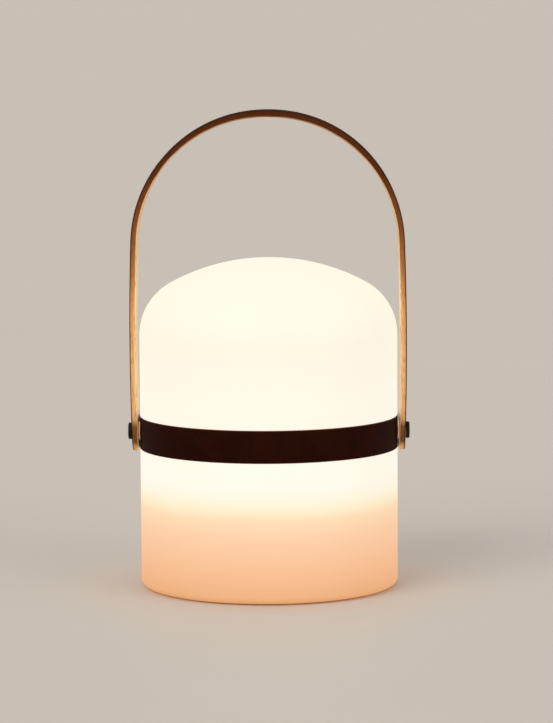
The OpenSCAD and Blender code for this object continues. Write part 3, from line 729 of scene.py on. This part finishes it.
# %% Pivot screws: sizes
HEAD_HEIGHT = 2.4 * MM
HEAD_RADIUS = 5.25 * MM
HEAD_EDGE = 0.9 * MM
HEAD_EDGE_FROM_DEGREES = 80
HEAD_EDGE_STEPS = 6
HEAD_DOME = 0.12 * MM
HEAD_UNDER_EDGE = 0.15 * MM
KEY_WIDTH = 3 * MM
SOCKET_DEPTH = 1.4 * MM
SOCKET_RADIUS = KEY_WIDTH / math.sqrt(3)
SOCKET_CONE = 0.5 * MM
SOCKET_LIP_DEPTH = 0.25 * MM
SOCKET_LIP_WIDTH = 0.35 * MM
FLAT_ANGLE = math.pi / 3
HAIR = 0.01 * MM
SHOULDER_SCREW_RADIUS = 2.5 * MM
SHOULDER_BITE = 0.4 * MM
SHOULDER_SEAT = SHADE_RADIUS - GROOVE_DEPTH - SHOULDER_BITE
THREAD_RADIUS = 2 * MM
THREAD_REACH = 9.6 * MM
THREAD_END = SHADE_RADIUS - THREAD_REACH
head_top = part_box("pivot_screws")[1].x
head_under = head_top - HEAD_HEIGHT
socket_floor = head_top - SOCKET_DEPTH
head_edge_centre = wall_point(HEAD_RADIUS - HEAD_EDGE, head_top - HEAD_DOME - HEAD_EDGE)
print("the heads end this far out in mm:", round(head_top / MM, 2))

# %% Pivot screws: shape
screw, marks = outline(
    [
        wall_point(0, socket_floor - SOCKET_CONE),
        wall_point(SOCKET_RADIUS, socket_floor),
        wall_point(SOCKET_RADIUS, head_top - SOCKET_LIP_DEPTH),
        wall_point(SOCKET_RADIUS + SOCKET_LIP_WIDTH, head_top),
        wall_point(HEAD_RADIUS - HEAD_EDGE, head_top - HEAD_DOME),
    ]
    + arc(head_edge_centre, HEAD_EDGE, HEAD_EDGE_FROM_DEGREES, 0, HEAD_EDGE_STEPS)
    + [
        wall_point(HEAD_RADIUS, head_under),
        wall_point(SHOULDER_SCREW_RADIUS, head_under),
        wall_point(SHOULDER_SCREW_RADIUS, SHOULDER_SEAT),
        wall_point(THREAD_RADIUS, SHOULDER_SEAT),
        wall_point(THREAD_RADIUS, THREAD_END),
        wall_point(0, THREAD_END),
    ]
)
soften(screw, [marks[-6]], HEAD_UNDER_EDGE)
turn(screw, TURNED_STEPS)
for vert in screw.verts:
    radius = vert.co.xy.length
    if vert.co.z > socket_floor - HAIR and 0 < radius < SOCKET_RADIUS + HAIR:
        off_flat = math.atan2(vert.co.y, vert.co.x) % FLAT_ANGLE - FLAT_ANGLE / 2
        pressed = SOCKET_RADIUS * math.cos(FLAT_ANGLE / 2) / math.cos(off_flat)
        vert.co.xy = vert.co.xy * (pressed / radius)
lay_at_pivots(screw)
screws = add_piece("screw_heads", screw, "lamp_body", "black_metal", "pivot_screws")

# %% Bushes with their flanges
FLANGE_THICKNESS = 0.6 * MM
FLANGE_RADIUS = 5.65 * MM
BUSH_RADIUS = 3.5 * MM
BUSH_BORE_RADIUS = 2.55 * MM
BUSH_EDGE = 0.18 * MM
flange_inner = FLANGE_OUTER - FLANGE_THICKNESS
bush_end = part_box("pivot_bushes")[1].x

bush, bush_corners = outline(
    [
        wall_point(BUSH_BORE_RADIUS, flange_inner),
        wall_point(FLANGE_RADIUS, flange_inner),
        wall_point(FLANGE_RADIUS, FLANGE_OUTER),
        wall_point(BUSH_RADIUS, FLANGE_OUTER),
        wall_point(BUSH_RADIUS, bush_end),
        wall_point(BUSH_BORE_RADIUS, bush_end),
    ],
    closed=True,
)
soften(bush, bush_corners[1:3] + bush_corners[4:], BUSH_EDGE)
turn(bush, TURNED_STEPS)
lay_at_pivots(bush)
bushes = add_piece("flanged_bushes", bush, "handle", "white_plastic", "pivot_bushes")

# %% [markdown]
# The four rivets at the back go through the strap into the shell. Their low domed heads
# are turned in the same way, and then copied round the Z axis to both sides of the joint.

# %% Rivets: sizes
RIVET_HEAD_RADIUS = 2.5 * MM
RIVET_HEAD_HEIGHT = 0.6 * MM
RIVET_RIM = 0.16 * MM
RIVET_EDGE = 0.12 * MM
RIVET_DOME_STEPS = 8
RIVET_STEPS = 40
RIVET_SHANK_RADIUS = 1 * MM
RIVET_BITE = 1.1 * MM
RIVET_SPACING = 10 * MM
RIVET_INSET = 6 * MM
strap_seat = SHADE_RADIUS - GROOVE_DEPTH
dome_rise = RIVET_HEAD_HEIGHT - RIVET_RIM
dome_radius = (RIVET_HEAD_RADIUS**2 + dome_rise**2) / (2 * dome_rise)
dome_angle = math.degrees(math.asin(RIVET_HEAD_RADIUS / dome_radius))
dome_centre = wall_point(0, STRAP_THICKNESS + RIVET_HEAD_HEIGHT - dome_radius)
print("the rivets' domes have a radius in mm:", round(dome_radius / MM, 2))

# %% Rivets: shape
rivet, rivet_marks = outline(
    [
        wall_point(0, -RIVET_BITE),
        wall_point(RIVET_SHANK_RADIUS, -RIVET_BITE),
        wall_point(RIVET_SHANK_RADIUS, STRAP_THICKNESS),
        wall_point(RIVET_HEAD_RADIUS, STRAP_THICKNESS),
    ]
    + arc(dome_centre, dome_radius, 90 - dome_angle, 90, RIVET_DOME_STEPS)
)
soften(rivet, [rivet_marks[4]], RIVET_EDGE)
turn(rivet, RIVET_STEPS)
bmesh.ops.rotate(rivet, verts=rivet.verts[:], matrix=Matrix.Rotation(math.pi / 2, 3, "Y"))
bmesh.ops.translate(rivet, verts=rivet.verts[:], vec=(strap_seat, 0, pivot_height))
first_rivet = everything(rivet)
rivet_turn = math.asin((STRAP_JOINT / 2 + RIVET_INSET) / strap_seat)
for side in (1, -1):
    for level in (1, -1):
        copied = verts_among(bmesh.ops.duplicate(rivet, geom=first_rivet)["geom"])
        bmesh.ops.translate(rivet, verts=copied, vec=(0, 0, level * RIVET_SPACING / 2))
        bmesh.ops.rotate(
            rivet,
            verts=copied,
            matrix=Matrix.Rotation(math.pi / 2 + side * rivet_turn, 3, "Z"),
        )
bmesh.ops.delete(rivet, geom=first_rivet, context="VERTS")
rivets = add_piece("domed_rivets", rivet, "lamp_body", "aged_brass", "strap_rivets")
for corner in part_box("strap_rivets"):
    print("a corner of the CAD rivets' box in mm:", [round(c / MM, 2) for c in corner])

# %% [markdown]
# ## Finishes for the parts that show
#
# Now each visible piece gets the surface that its material really has. Every finish is
# kept under its name, and is put on the pieces when all of them are made.

# %% [markdown]
# ### The lit shade
#
# Opal plastic scatters the light inside so well that the dome shows an even cream. The
# light module stands about 50 mm above the table, so below it the shell is lit only by
# what leaks down, and turns peach. Real scattering through a 3 mm wall is slow to render
# and is lost when the model is exported, so the shade glows by emission instead, and a
# ramp over its height gives the glow its colour. A faint cloudiness keeps it from looking
# like a lamp drawn with a ruler.

# %% Opal shade: its colours
finishes = {}
GLOW_AT_HEIGHT_MM = (
    (0, (0.53, 0.235, 0.085)),
    (16, (0.63, 0.295, 0.145)),
    (42, (0.69, 0.40, 0.23)),
    (52, (0.70, 0.475, 0.29)),
    (57, (0.705, 0.595, 0.395)),
    (64, (0.71, 0.665, 0.545)),
    (72, (0.715, 0.695, 0.635)),
    (120, (0.715, 0.70, 0.635)),
    (150, (0.705, 0.67, 0.585)),
    (203, (0.68, 0.66, 0.575)),
)
# The plastic's colour is painted peach towards the bottom: painted lamplight, the tint of the glow
# below the light module.
PLASTIC_AND_LAMPLIGHT_AT_HEIGHT_MM = (
    (0, (0.31, 0.21, 0.13)),
    (60, (0.30, 0.27, 0.21)),
    (200, (0.30, 0.275, 0.215)),
)

# %% Opal shade
CLOUDINESS_MM = 60
DRIFT_MM = 3
SKIN_MM = 0.9


def height_ramp(finish, level, levels):
    """A ramp over the shade's height, from heights in millimetres and colours."""
    stops = [(height * MM / shade_high.z, colour) for height, colour in levels]
    return ramp(finish, level, *stops)


def opal_shade():
    finish = Finish("opal_shade")
    place = place_mm(finish)
    height = along(finish, place, "Z")
    drift = cloud(finish, place, CLOUDINESS_MM, detail=1) - 0.5
    level = (height + drift * DRIFT_MM) * MM / shade_high.z
    glow = height_ramp(finish, level, GLOW_AT_HEIGHT_MM)
    # Painted lamplight: the plastic's colour warms towards the bottom.
    plastic = height_ramp(finish, level, PLASTIC_AND_LAMPLIGHT_AT_HEIGHT_MM)
    skin = cloud(finish, place, SKIN_MM, detail=3)
    finish.paint(
        base_color=plastic,
        emission=glow,
        emission_strength=1.0,
        roughness=0.42 + skin * 0.12,
        specular=0.25,
        normal=relief(finish, skin, 0.02),
    )
    return finish.done()


finishes["opal_shade"] = opal_shade()

# %% [markdown]
# ### Dark leather
#
# Vegetable-tanned leather has small pebbles with creases between them, which Voronoi
# cells give, and slow blotches of dye. Its cut edges are redder, lighter and less shiny:
# partly the raw edge, and partly painted light from the glowing shade. Height above or
# below the strap's middle tells the edges from the face.

# %% Leather
PEBBLE_MM = 0.9
DYE_PATCH_MM = 14
PORE_MM = 0.35
HIDE = ((0.3, (0.0175, 0.0028, 0.0010)), (0.7, (0.0255, 0.0045, 0.0017)))
# Partly the raw cut edge's colour, partly painted light from the shade on it.
RAW_AND_LAMPLIT_EDGE = (0.13, 0.034, 0.014)


def dark_leather():
    finish = Finish("dark_leather")
    place = place_mm(finish)
    pebbles = cells(finish, place, PEBBLE_MM)
    creases = ramp(finish, pebbles, (0.0, 0.0), (0.16, 1.0))
    dye = cloud(finish, place, DYE_PATCH_MM, detail=4)
    hide = ramp(finish, dye, *HIDE)
    # Darker in the creases between the pebbles, a little lighter on their tops.
    crease_tone = ramp(finish, creases, (0.0, 0.62), (1.0, 1.06))
    face = multiply(finish, hide, crease_tone)
    from_middle = abs(along(finish, place, "Z") - pivot_height / MM)
    half_height = (strap_high.z - strap_low.z) / 2 / MM
    # The strap's edges: raw colour and painted lamplight.
    raw_and_lamplit = ramp(finish, from_middle / half_height, (0.95, 0.0), (0.985, 1.0))
    colour = blend_colours(finish, raw_and_lamplit, face, RAW_AND_LAMPLIT_EDGE)
    pores = cloud(finish, place, PORE_MM, detail=3)
    finish.paint(
        base_color=colour,
        roughness=0.52 + dye * 0.14 + raw_and_lamplit * 0.2 - creases * 0.06,
        specular=0.02,
        normal=relief(finish, creases * 0.7 + pores * 0.3, 0.11),
    )
    return finish.done()


finishes["dark_leather"] = dark_leather()

# %% [markdown]
# ### Bent, laminated wood
#
# Four things make wood read as wood: broad bands of growth, fine streaks inside them,
# short dark pores, and here the sheets that the strip is glued from, which show on its
# narrow sides. Light and shade are painted on as well. A band along the outer edge and the
# outer face are painted dark, painted shade, and the inner edge is painted bright, painted
# lamplight from the shade, so a thin dark line follows the outside of the bend and a
# bright one the inside. All of it is noise or steps over the flat strip's own coordinates,
# stretched along its length. The tone is also painted darker towards the top of the bend,
# painted shade, and round the screws, a painted shadow of the strap. Two kinds of table
# say all this: a position through the strip, from 0 inside to 1 outside, or along it, from
# 0 at the crown to 1 at the ends, and the colour there.

# %% Bent wood: its tones
SHEETS = (
    (0.165, (1.08, 1.08, 1.08)),
    (0.420, (1.02, 1.02, 1.02)),
    (0.433, (0.62, 0.56, 0.50)),
    (0.446, (1.00, 1.00, 1.00)),
    (0.700, (0.92, 0.90, 0.88)),
    (0.713, (0.62, 0.56, 0.50)),
    (0.726, (0.86, 0.83, 0.80)),
)
# Painted shade along the strip: darker towards the crown, and a painted shadow of the strap round
# the screws.
SHADE_ALONG_STRIP = (
    (0.000, (0.085, 0.036, 0.012)),
    (0.324, (0.105, 0.050, 0.020)),
    (0.467, (0.245, 0.150, 0.090)),
    (0.571, (0.500, 0.360, 0.240)),
    (0.667, (0.880, 0.780, 0.700)),
    (0.762, (1.000, 1.000, 1.000)),
    (0.920, (1.000, 1.000, 1.000)),
    (0.938, (0.280, 0.185, 0.095)),
    (0.975, (0.280, 0.185, 0.095)),
    (0.989, (1.000, 1.000, 1.000)),
)
# Painted lamplight from the shade on the inner edge, dim at the crown and bright on the legs.
LAMPLIT_INNER_EDGE = (
    (0.00, (0.42, 0.17, 0.065)),
    (0.36, (0.86, 0.50, 0.240)),
    (0.63, (0.98, 0.80, 0.520)),
)
# Painted shade: a near-black band along the outer edge of the narrow sides.
SHADED_OUTER_EDGE = (0.020, 0.0075, 0.0032)
# Painted shade on the outer face, deepest at the crown.
OUTER_FACE_SHADE_ALONG = (
    (0.00, (0.30, 0.26, 0.24)),
    (0.36, (0.45, 0.41, 0.39)),
    (0.66, (1.00, 1.00, 1.00)),
)

# %% [markdown]
# The next two tables go by the figure of the wood instead, from its dark bands and
# streaks to its light ones. The core is oiled oak, and the outer face a dark brown of the
# same figure, painted shade.

# %% Bent wood
OILED_OAK = (
    (0.34, (0.74, 0.355, 0.130)),
    (0.48, (0.92, 0.480, 0.195)),
    (0.64, (0.97, 0.590, 0.270)),
)
# Dark brown tones of the outer face, painted shade.
SHADED_OUTER_WOOD = (
    (0.34, (0.055, 0.022, 0.010)),
    (0.50, (0.105, 0.046, 0.021)),
    (0.66, (0.170, 0.082, 0.039)),
)
PORE_DARK = (0.03, 0.012, 0.005)
BAND_MM = 3.2
STREAK_MM = 0.42
SPECK_MM = 0.3


def bent_oak():
    finish = Finish("bent_oak")
    flat = place_mm(finish, "flat_place")
    from_top = abs(along(finish, flat, "X")) / ((half_length + END_RADIUS) / MM)
    through = along(finish, flat, "Z") / (STRIP_THICKNESS / MM) + 0.5
    bands = cloud(finish, flat, BAND_MM, detail=3, stretch=(34, 1, 0.45), distortion=0.6)
    streaks = cloud(finish, flat, STREAK_MM, detail=3, stretch=(60, 1, 1))
    specks = cloud(finish, flat, SPECK_MM, detail=1, stretch=(18, 1, 1))
    pores = ramp(finish, specks, (0.60, 0.0), (0.68, 1.0))
    figure = bands * 0.62 + streaks * 0.38
    # Painted shade along the strip, darkest at the crown and round the screws.
    shaded_along_strip = multiply(finish, ramp(finish, figure, *OILED_OAK), ramp(finish, from_top, *SHADE_ALONG_STRIP))
    core = multiply(finish, shaded_along_strip, ramp(finish, through, *SHEETS))
    veins = ramp(finish, streaks, (0.3, 0.72), (0.6, 1.0))
    # Painted lamplight on the inner edge.
    pale = multiply(finish, ramp(finish, from_top, *LAMPLIT_INNER_EDGE), veins)
    inside = ramp(finish, through, (0.17, 1.0), (0.19, 0.0))
    # Painted shade on the outer edge and on the outer face.
    outer_edge_shade_mask = ramp(finish, through, (0.85, 0.0), (0.87, 1.0))
    outside = ramp(finish, through, (0.975, 0.0), (0.995, 1.0))
    with_lamplit_edge = blend_colours(finish, inside, core, pale)
    with_shaded_outer_edge = blend_colours(finish, outer_edge_shade_mask, with_lamplit_edge, SHADED_OUTER_EDGE)
    shaded_outer_wood_figure = ramp(finish, figure, *SHADED_OUTER_WOOD)
    shaded_outer_face = multiply(finish, shaded_outer_wood_figure, ramp(finish, from_top, *OUTER_FACE_SHADE_ALONG))
    with_shaded_outer_face = blend_colours(finish, outside, with_shaded_outer_edge, shaded_outer_face)
    colour = blend_colours(finish, pores * 0.45, with_shaded_outer_face, PORE_DARK)
    finish.paint(
        base_color=colour,
        roughness=0.48 + streaks * 0.14 + pores * 0.1 + outside * 0.2,
        specular=0.06,
        normal=relief(finish, 1 - pores * 0.8 - streaks * 0.3, 0.05),
    )
    return finish.done()


finishes["bent_oak"] = bent_oak()

# %% [markdown]
# ### Black screws
#
# The heads are steel with a thin satin-black coating. It is not even: slow patches of it
# are a little greyer and duller than the rest, and a fine speckle breaks up the gloss.

# %% Black metal
SPECKLE_MM = 0.25
COATING_PATCH_MM = 2.2
COATING = ((0.35, (0.0045, 0.003, 0.003)), (0.7, (0.012, 0.0085, 0.008)))


def black_metal():
    finish = Finish("black_metal")
    place = place_mm(finish)
    speckle = cloud(finish, place, SPECKLE_MM, detail=3)
    patches = cloud(finish, place, COATING_PATCH_MM, detail=2)
    finish.paint(
        base_color=ramp(finish, patches, *COATING),
        roughness=0.34 + patches * 0.2,
        specular=0.2,
        normal=relief(finish, speckle, 0.015),
    )
    return finish.done()


finishes["black_metal"] = black_metal()

# %% [markdown]
# ### Light in the bushes
#
# The bushes are white nylon. Their flanges glow by emission, painted light that stands
# for the lamp's light reaching them through the holes in the wall, so they show as thin
# bright lines between the dark strap and the handle.

# %% Lit nylon
NYLON = ((0.3, (0.80, 0.76, 0.68)), (0.7, (0.86, 0.83, 0.76)))
NYLON_GLOW = ((0.3, (0.50, 0.26, 0.13)), (0.7, (0.62, 0.34, 0.18)))
MILKY_MM = 1.5


def lit_nylon():
    finish = Finish("lit_nylon")
    place = place_mm(finish)
    milky = cloud(finish, place, MILKY_MM, detail=2)
    finish.paint(
        base_color=ramp(finish, milky, *NYLON),
        # Painted light: the flanges' glow.
        emission=ramp(finish, milky, *NYLON_GLOW),
        emission_strength=1.0,
        roughness=0.42 + milky * 0.1,
        normal=relief(finish, milky, 0.01),
    )
    return finish.done()


finishes["lit_nylon"] = lit_nylon()

# %% [markdown]
# ## Finishes for everything else
#
# The inside of the lamp and its underside have plainer jobs, but nothing on them is one
# flat colour either. Most fit one recipe: two tones in slow patches, a roughness that
# wanders a little, and a relief at the size of the process that made the surface. Moulded
# parts have a spark-eroded texture, rolled and drawn metal has fine lines, wires are
# smooth. A table of these sizes says more than fifteen nearly equal functions would.

# %% The common recipe
def worked_surface(
    slot,
    dark,
    light,
    patch=8.0,
    roughness=0.5,
    wander=0.12,
    grain=0.4,
    depth=0.02,
    stretch=(1, 1, 1),
    metallic=0.0,
    specular=0.5,
):
    finish = Finish(slot)
    place = place_mm(finish)
    patches = cloud(finish, place, patch, detail=3)
    fine = cloud(finish, place, grain, detail=2, stretch=stretch)
    finish.paint(
        base_color=ramp(finish, patches * 0.6 + fine * 0.4, (0.35, dark), (0.65, light)),
        roughness=roughness + (patches - 0.5) * wander,
        metallic=metallic,
        specular=specular,
        normal=relief(finish, fine, depth),
    )
    return finish.done()


# %% Plainer surfaces
SURFACES = {
    "aged_brass": dict(
        dark=(0.20, 0.11, 0.045), light=(0.45, 0.29, 0.13), patch=1.5, roughness=0.42,
        metallic=1.0, grain=0.3,
    ),
    "plain_steel": dict(
        dark=(0.50, 0.49, 0.48), light=(0.68, 0.67, 0.65), patch=3.0, roughness=0.30,
        metallic=1.0, grain=0.25, stretch=(1, 6, 1), depth=0.01,
    ),
    "aluminium_sheet": dict(
        dark=(0.66, 0.67, 0.68), light=(0.80, 0.81, 0.82), roughness=0.34,
        metallic=1.0, grain=0.3, stretch=(40, 1, 1), depth=0.01,
    ),
    "base_plastic": dict(
        dark=(0.755, 0.71, 0.64), light=(0.80, 0.76, 0.69), patch=9, roughness=0.55, depth=0.04,
    ),
    "white_plastic": dict(dark=(0.76, 0.75, 0.71), light=(0.84, 0.83, 0.80), patch=15),
    "opal_cover": dict(
        dark=(0.84, 0.82, 0.76), light=(0.90, 0.89, 0.84), patch=18, roughness=0.45,
    ),
    "grey_rubber": dict(
        dark=(0.055, 0.055, 0.058), light=(0.085, 0.085, 0.09), patch=3, roughness=0.75,
        specular=0.3, depth=0.03,
    ),
    "black_rubber": dict(
        dark=(0.018, 0.018, 0.018), light=(0.034, 0.034, 0.034), patch=3, roughness=0.8,
        specular=0.3, depth=0.03,
    ),
    "black_plastic": dict(
        dark=(0.020, 0.020, 0.021), light=(0.036, 0.036, 0.038), patch=2, roughness=0.5,
    ),
    "red_plastic": dict(dark=(0.36, 0.03, 0.02), light=(0.46, 0.045, 0.03), patch=2),
    "red_wire": dict(
        dark=(0.46, 0.02, 0.014), light=(0.58, 0.035, 0.022), patch=2, roughness=0.35, depth=0.005,
    ),
    "black_wire": dict(
        dark=(0.012, 0.012, 0.012), light=(0.024, 0.024, 0.024), patch=2, roughness=0.35,
        depth=0.005,
    ),
    "white_board": dict(
        dark=(0.80, 0.80, 0.77), light=(0.88, 0.88, 0.86), patch=12, roughness=0.3, depth=0.006,
    ),
    "light_chips": dict(
        dark=(0.86, 0.62, 0.14), light=(0.95, 0.78, 0.28), patch=1, roughness=0.35, depth=0.01,
    ),
    "cell_wrap": dict(
        dark=(0.035, 0.12, 0.34), light=(0.06, 0.19, 0.48), patch=10, roughness=0.28,
        grain=1.2, stretch=(20, 1, 1),
    ),
}
for slot, recipe in SURFACES.items():
    finishes[slot] = worked_surface(slot, **recipe)

# %% [markdown]
# The control board is the exception, because a circuit board is known by its tracks. A
# brick pattern's mortar makes straight copper lines under the green lacquer.

# %% Circuit board
LACQUER = ((0.3, (0.016, 0.095, 0.038)), (0.7, (0.026, 0.135, 0.055)))
LACQUERED_TRACK = (0.055, 0.22, 0.085)
LACQUER_PATCH_MM = 6
TRACK_MM = 0.16
TRACK_PITCH_MM = 1.4
TRACK_RUN_MM = 5.2


def green_board():
    finish = Finish("green_board")
    place = place_mm(finish)
    tracks = finish.node(
        "ShaderNodeTexBrick",
        {"offset": 0.35, "squash": 1.6, "squash_frequency": 3},
        {
            "Vector": place,
            "Scale": 1.0,
            "Mortar Size": TRACK_MM,
            "Mortar Smooth": 0.2,
            "Brick Width": TRACK_RUN_MM,
            "Row Height": TRACK_PITCH_MM,
        },
        output="Fac",
    )
    lacquer = ramp(finish, cloud(finish, place, LACQUER_PATCH_MM, detail=2), *LACQUER)
    finish.paint(
        base_color=blend_colours(finish, tracks, lacquer, LACQUERED_TRACK),
        roughness=0.32 + tracks * 0.1,
        normal=relief(finish, tracks, 0.03),
    )
    return finish.done()


finishes["green_board"] = green_board()

# %% Give every piece its finish
slot_of_node = {row["node"]: row["material_slot"] for row in frame["record"]["subparts"]}


def dress(piece, slot):
    piece.data.materials.clear()
    piece.data.materials.append(finishes[slot])


new_pieces = (shade, strap, handle, screws, bushes, rivets)
for name, node in frame["nodes"].items():
    dress(node, slot_of_node[name])
for piece in new_pieces:
    dress(piece, piece["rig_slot"])
# The bushes share a slot with unlit parts inside the lamp, so their glow is put on here.
dress(bushes, "lit_nylon")
print(len(finishes), "finishes on", len(frame["nodes"]) + len(new_pieces), "pieces")

# %% [markdown]
# ## Floor and light
#
# A lit lamp needs a pale floor that is still darker than its shade, or the glow has
# nothing to stand out from. So the floor is a warm pale grey, large enough that its edge
# is never seen. The light is a soft dome from the world and two broad lamps from the
# front, the stronger one from the upper left, at a level where a colour renders about as
# it is written. They are sun lamps with a wide disk. An area lamp would be as soft, but
# its light fades across a large floor, and that shows as a band in some views.

# %% Floor
FLOOR_HALF = 300.0
FLOOR_PATCH_MM = 220
FLOOR_TONES = ((0.3, (0.571, 0.524, 0.481)), (0.7, (0.579, 0.532, 0.489)))


def pale_floor():
    finish = Finish("pale_floor")
    place = place_mm(finish)
    patches = cloud(finish, place, FLOOR_PATCH_MM, detail=2)
    finish.paint(
        base_color=ramp(finish, patches, *FLOOR_TONES),
        roughness=0.55,
        specular=0.2,
    )
    return finish.done()


floor_mesh = bmesh.new()
bmesh.ops.create_grid(floor_mesh, x_segments=1, y_segments=1, size=FLOOR_HALF)
floor_data = bpy.data.meshes.new("floor")
floor_mesh.to_mesh(floor_data)
floor_mesh.free()
floor = bpy.data.objects.new("floor", floor_data)
floor_data.materials.append(pale_floor())
bpy.context.scene.collection.objects.link(floor)

# %% Lamps
KEY_FROM = (-0.75, -0.95, 0.91)
KEY_STRENGTH = 1.17
KEY_COLOUR = (1.0, 0.97, 0.93)
FILL_FROM = (1.1, -0.9, 0.56)
FILL_STRENGTH = 0.68
FILL_COLOUR = (1.0, 0.98, 0.96)
LAMP_ANGLE = math.radians(40)


def soft_lamp(name, comes_from, strength, colour):
    """A lamp far off in one direction, as wide in the sky as a studio's soft box."""
    lamp = bpy.data.lights.new(name, "SUN")
    lamp.angle = LAMP_ANGLE
    lamp.energy = strength
    lamp.color = colour
    holder = bpy.data.objects.new(name, lamp)
    turned = Vector(comes_from).to_track_quat("Z", "Y").to_matrix().to_4x4()
    holder.matrix_world = Matrix.Translation(comes_from) @ turned
    bpy.context.scene.collection.objects.link(holder)
    print(name, "lamp of strength", strength)


soft_lamp("key", KEY_FROM, KEY_STRENGTH, KEY_COLOUR)
soft_lamp("fill", FILL_FROM, FILL_STRENGTH, FILL_COLOUR)

# %% [markdown]
# The world does two jobs. It lights the lamp from all sides, and it is what the camera
# sees above the floor's far edge in a low view. For a ray from the camera, or one that
# comes back from a glossy surface or through glass, it takes the floor's colour, so the
# two join without a line.

# %% World
SKY = (0.72, 0.71, 0.69)
SKY_SEEN = (0.582, 0.525, 0.468)

world = bpy.data.worlds.new("soft_sky")
world.use_nodes = True
sky_graph = Graph(world.node_tree)


def light_path(kind_of_ray):
    return sky_graph.node("ShaderNodeLightPath", {}, {}, output=kind_of_ray)


seen = (
    light_path("Is Camera Ray")
    + light_path("Is Glossy Ray")
    + light_path("Is Transmission Ray")
).at_most(1)
background = world.node_tree.nodes["Background"]
sky_graph.feed(background.inputs["Color"], blend_colours(sky_graph, seen, SKY, SKY_SEEN))
bpy.context.scene.world = world
print("the world is made of", len(world.node_tree.nodes), "nodes")

bpy.context.scene.view_settings.view_transform = "Standard"
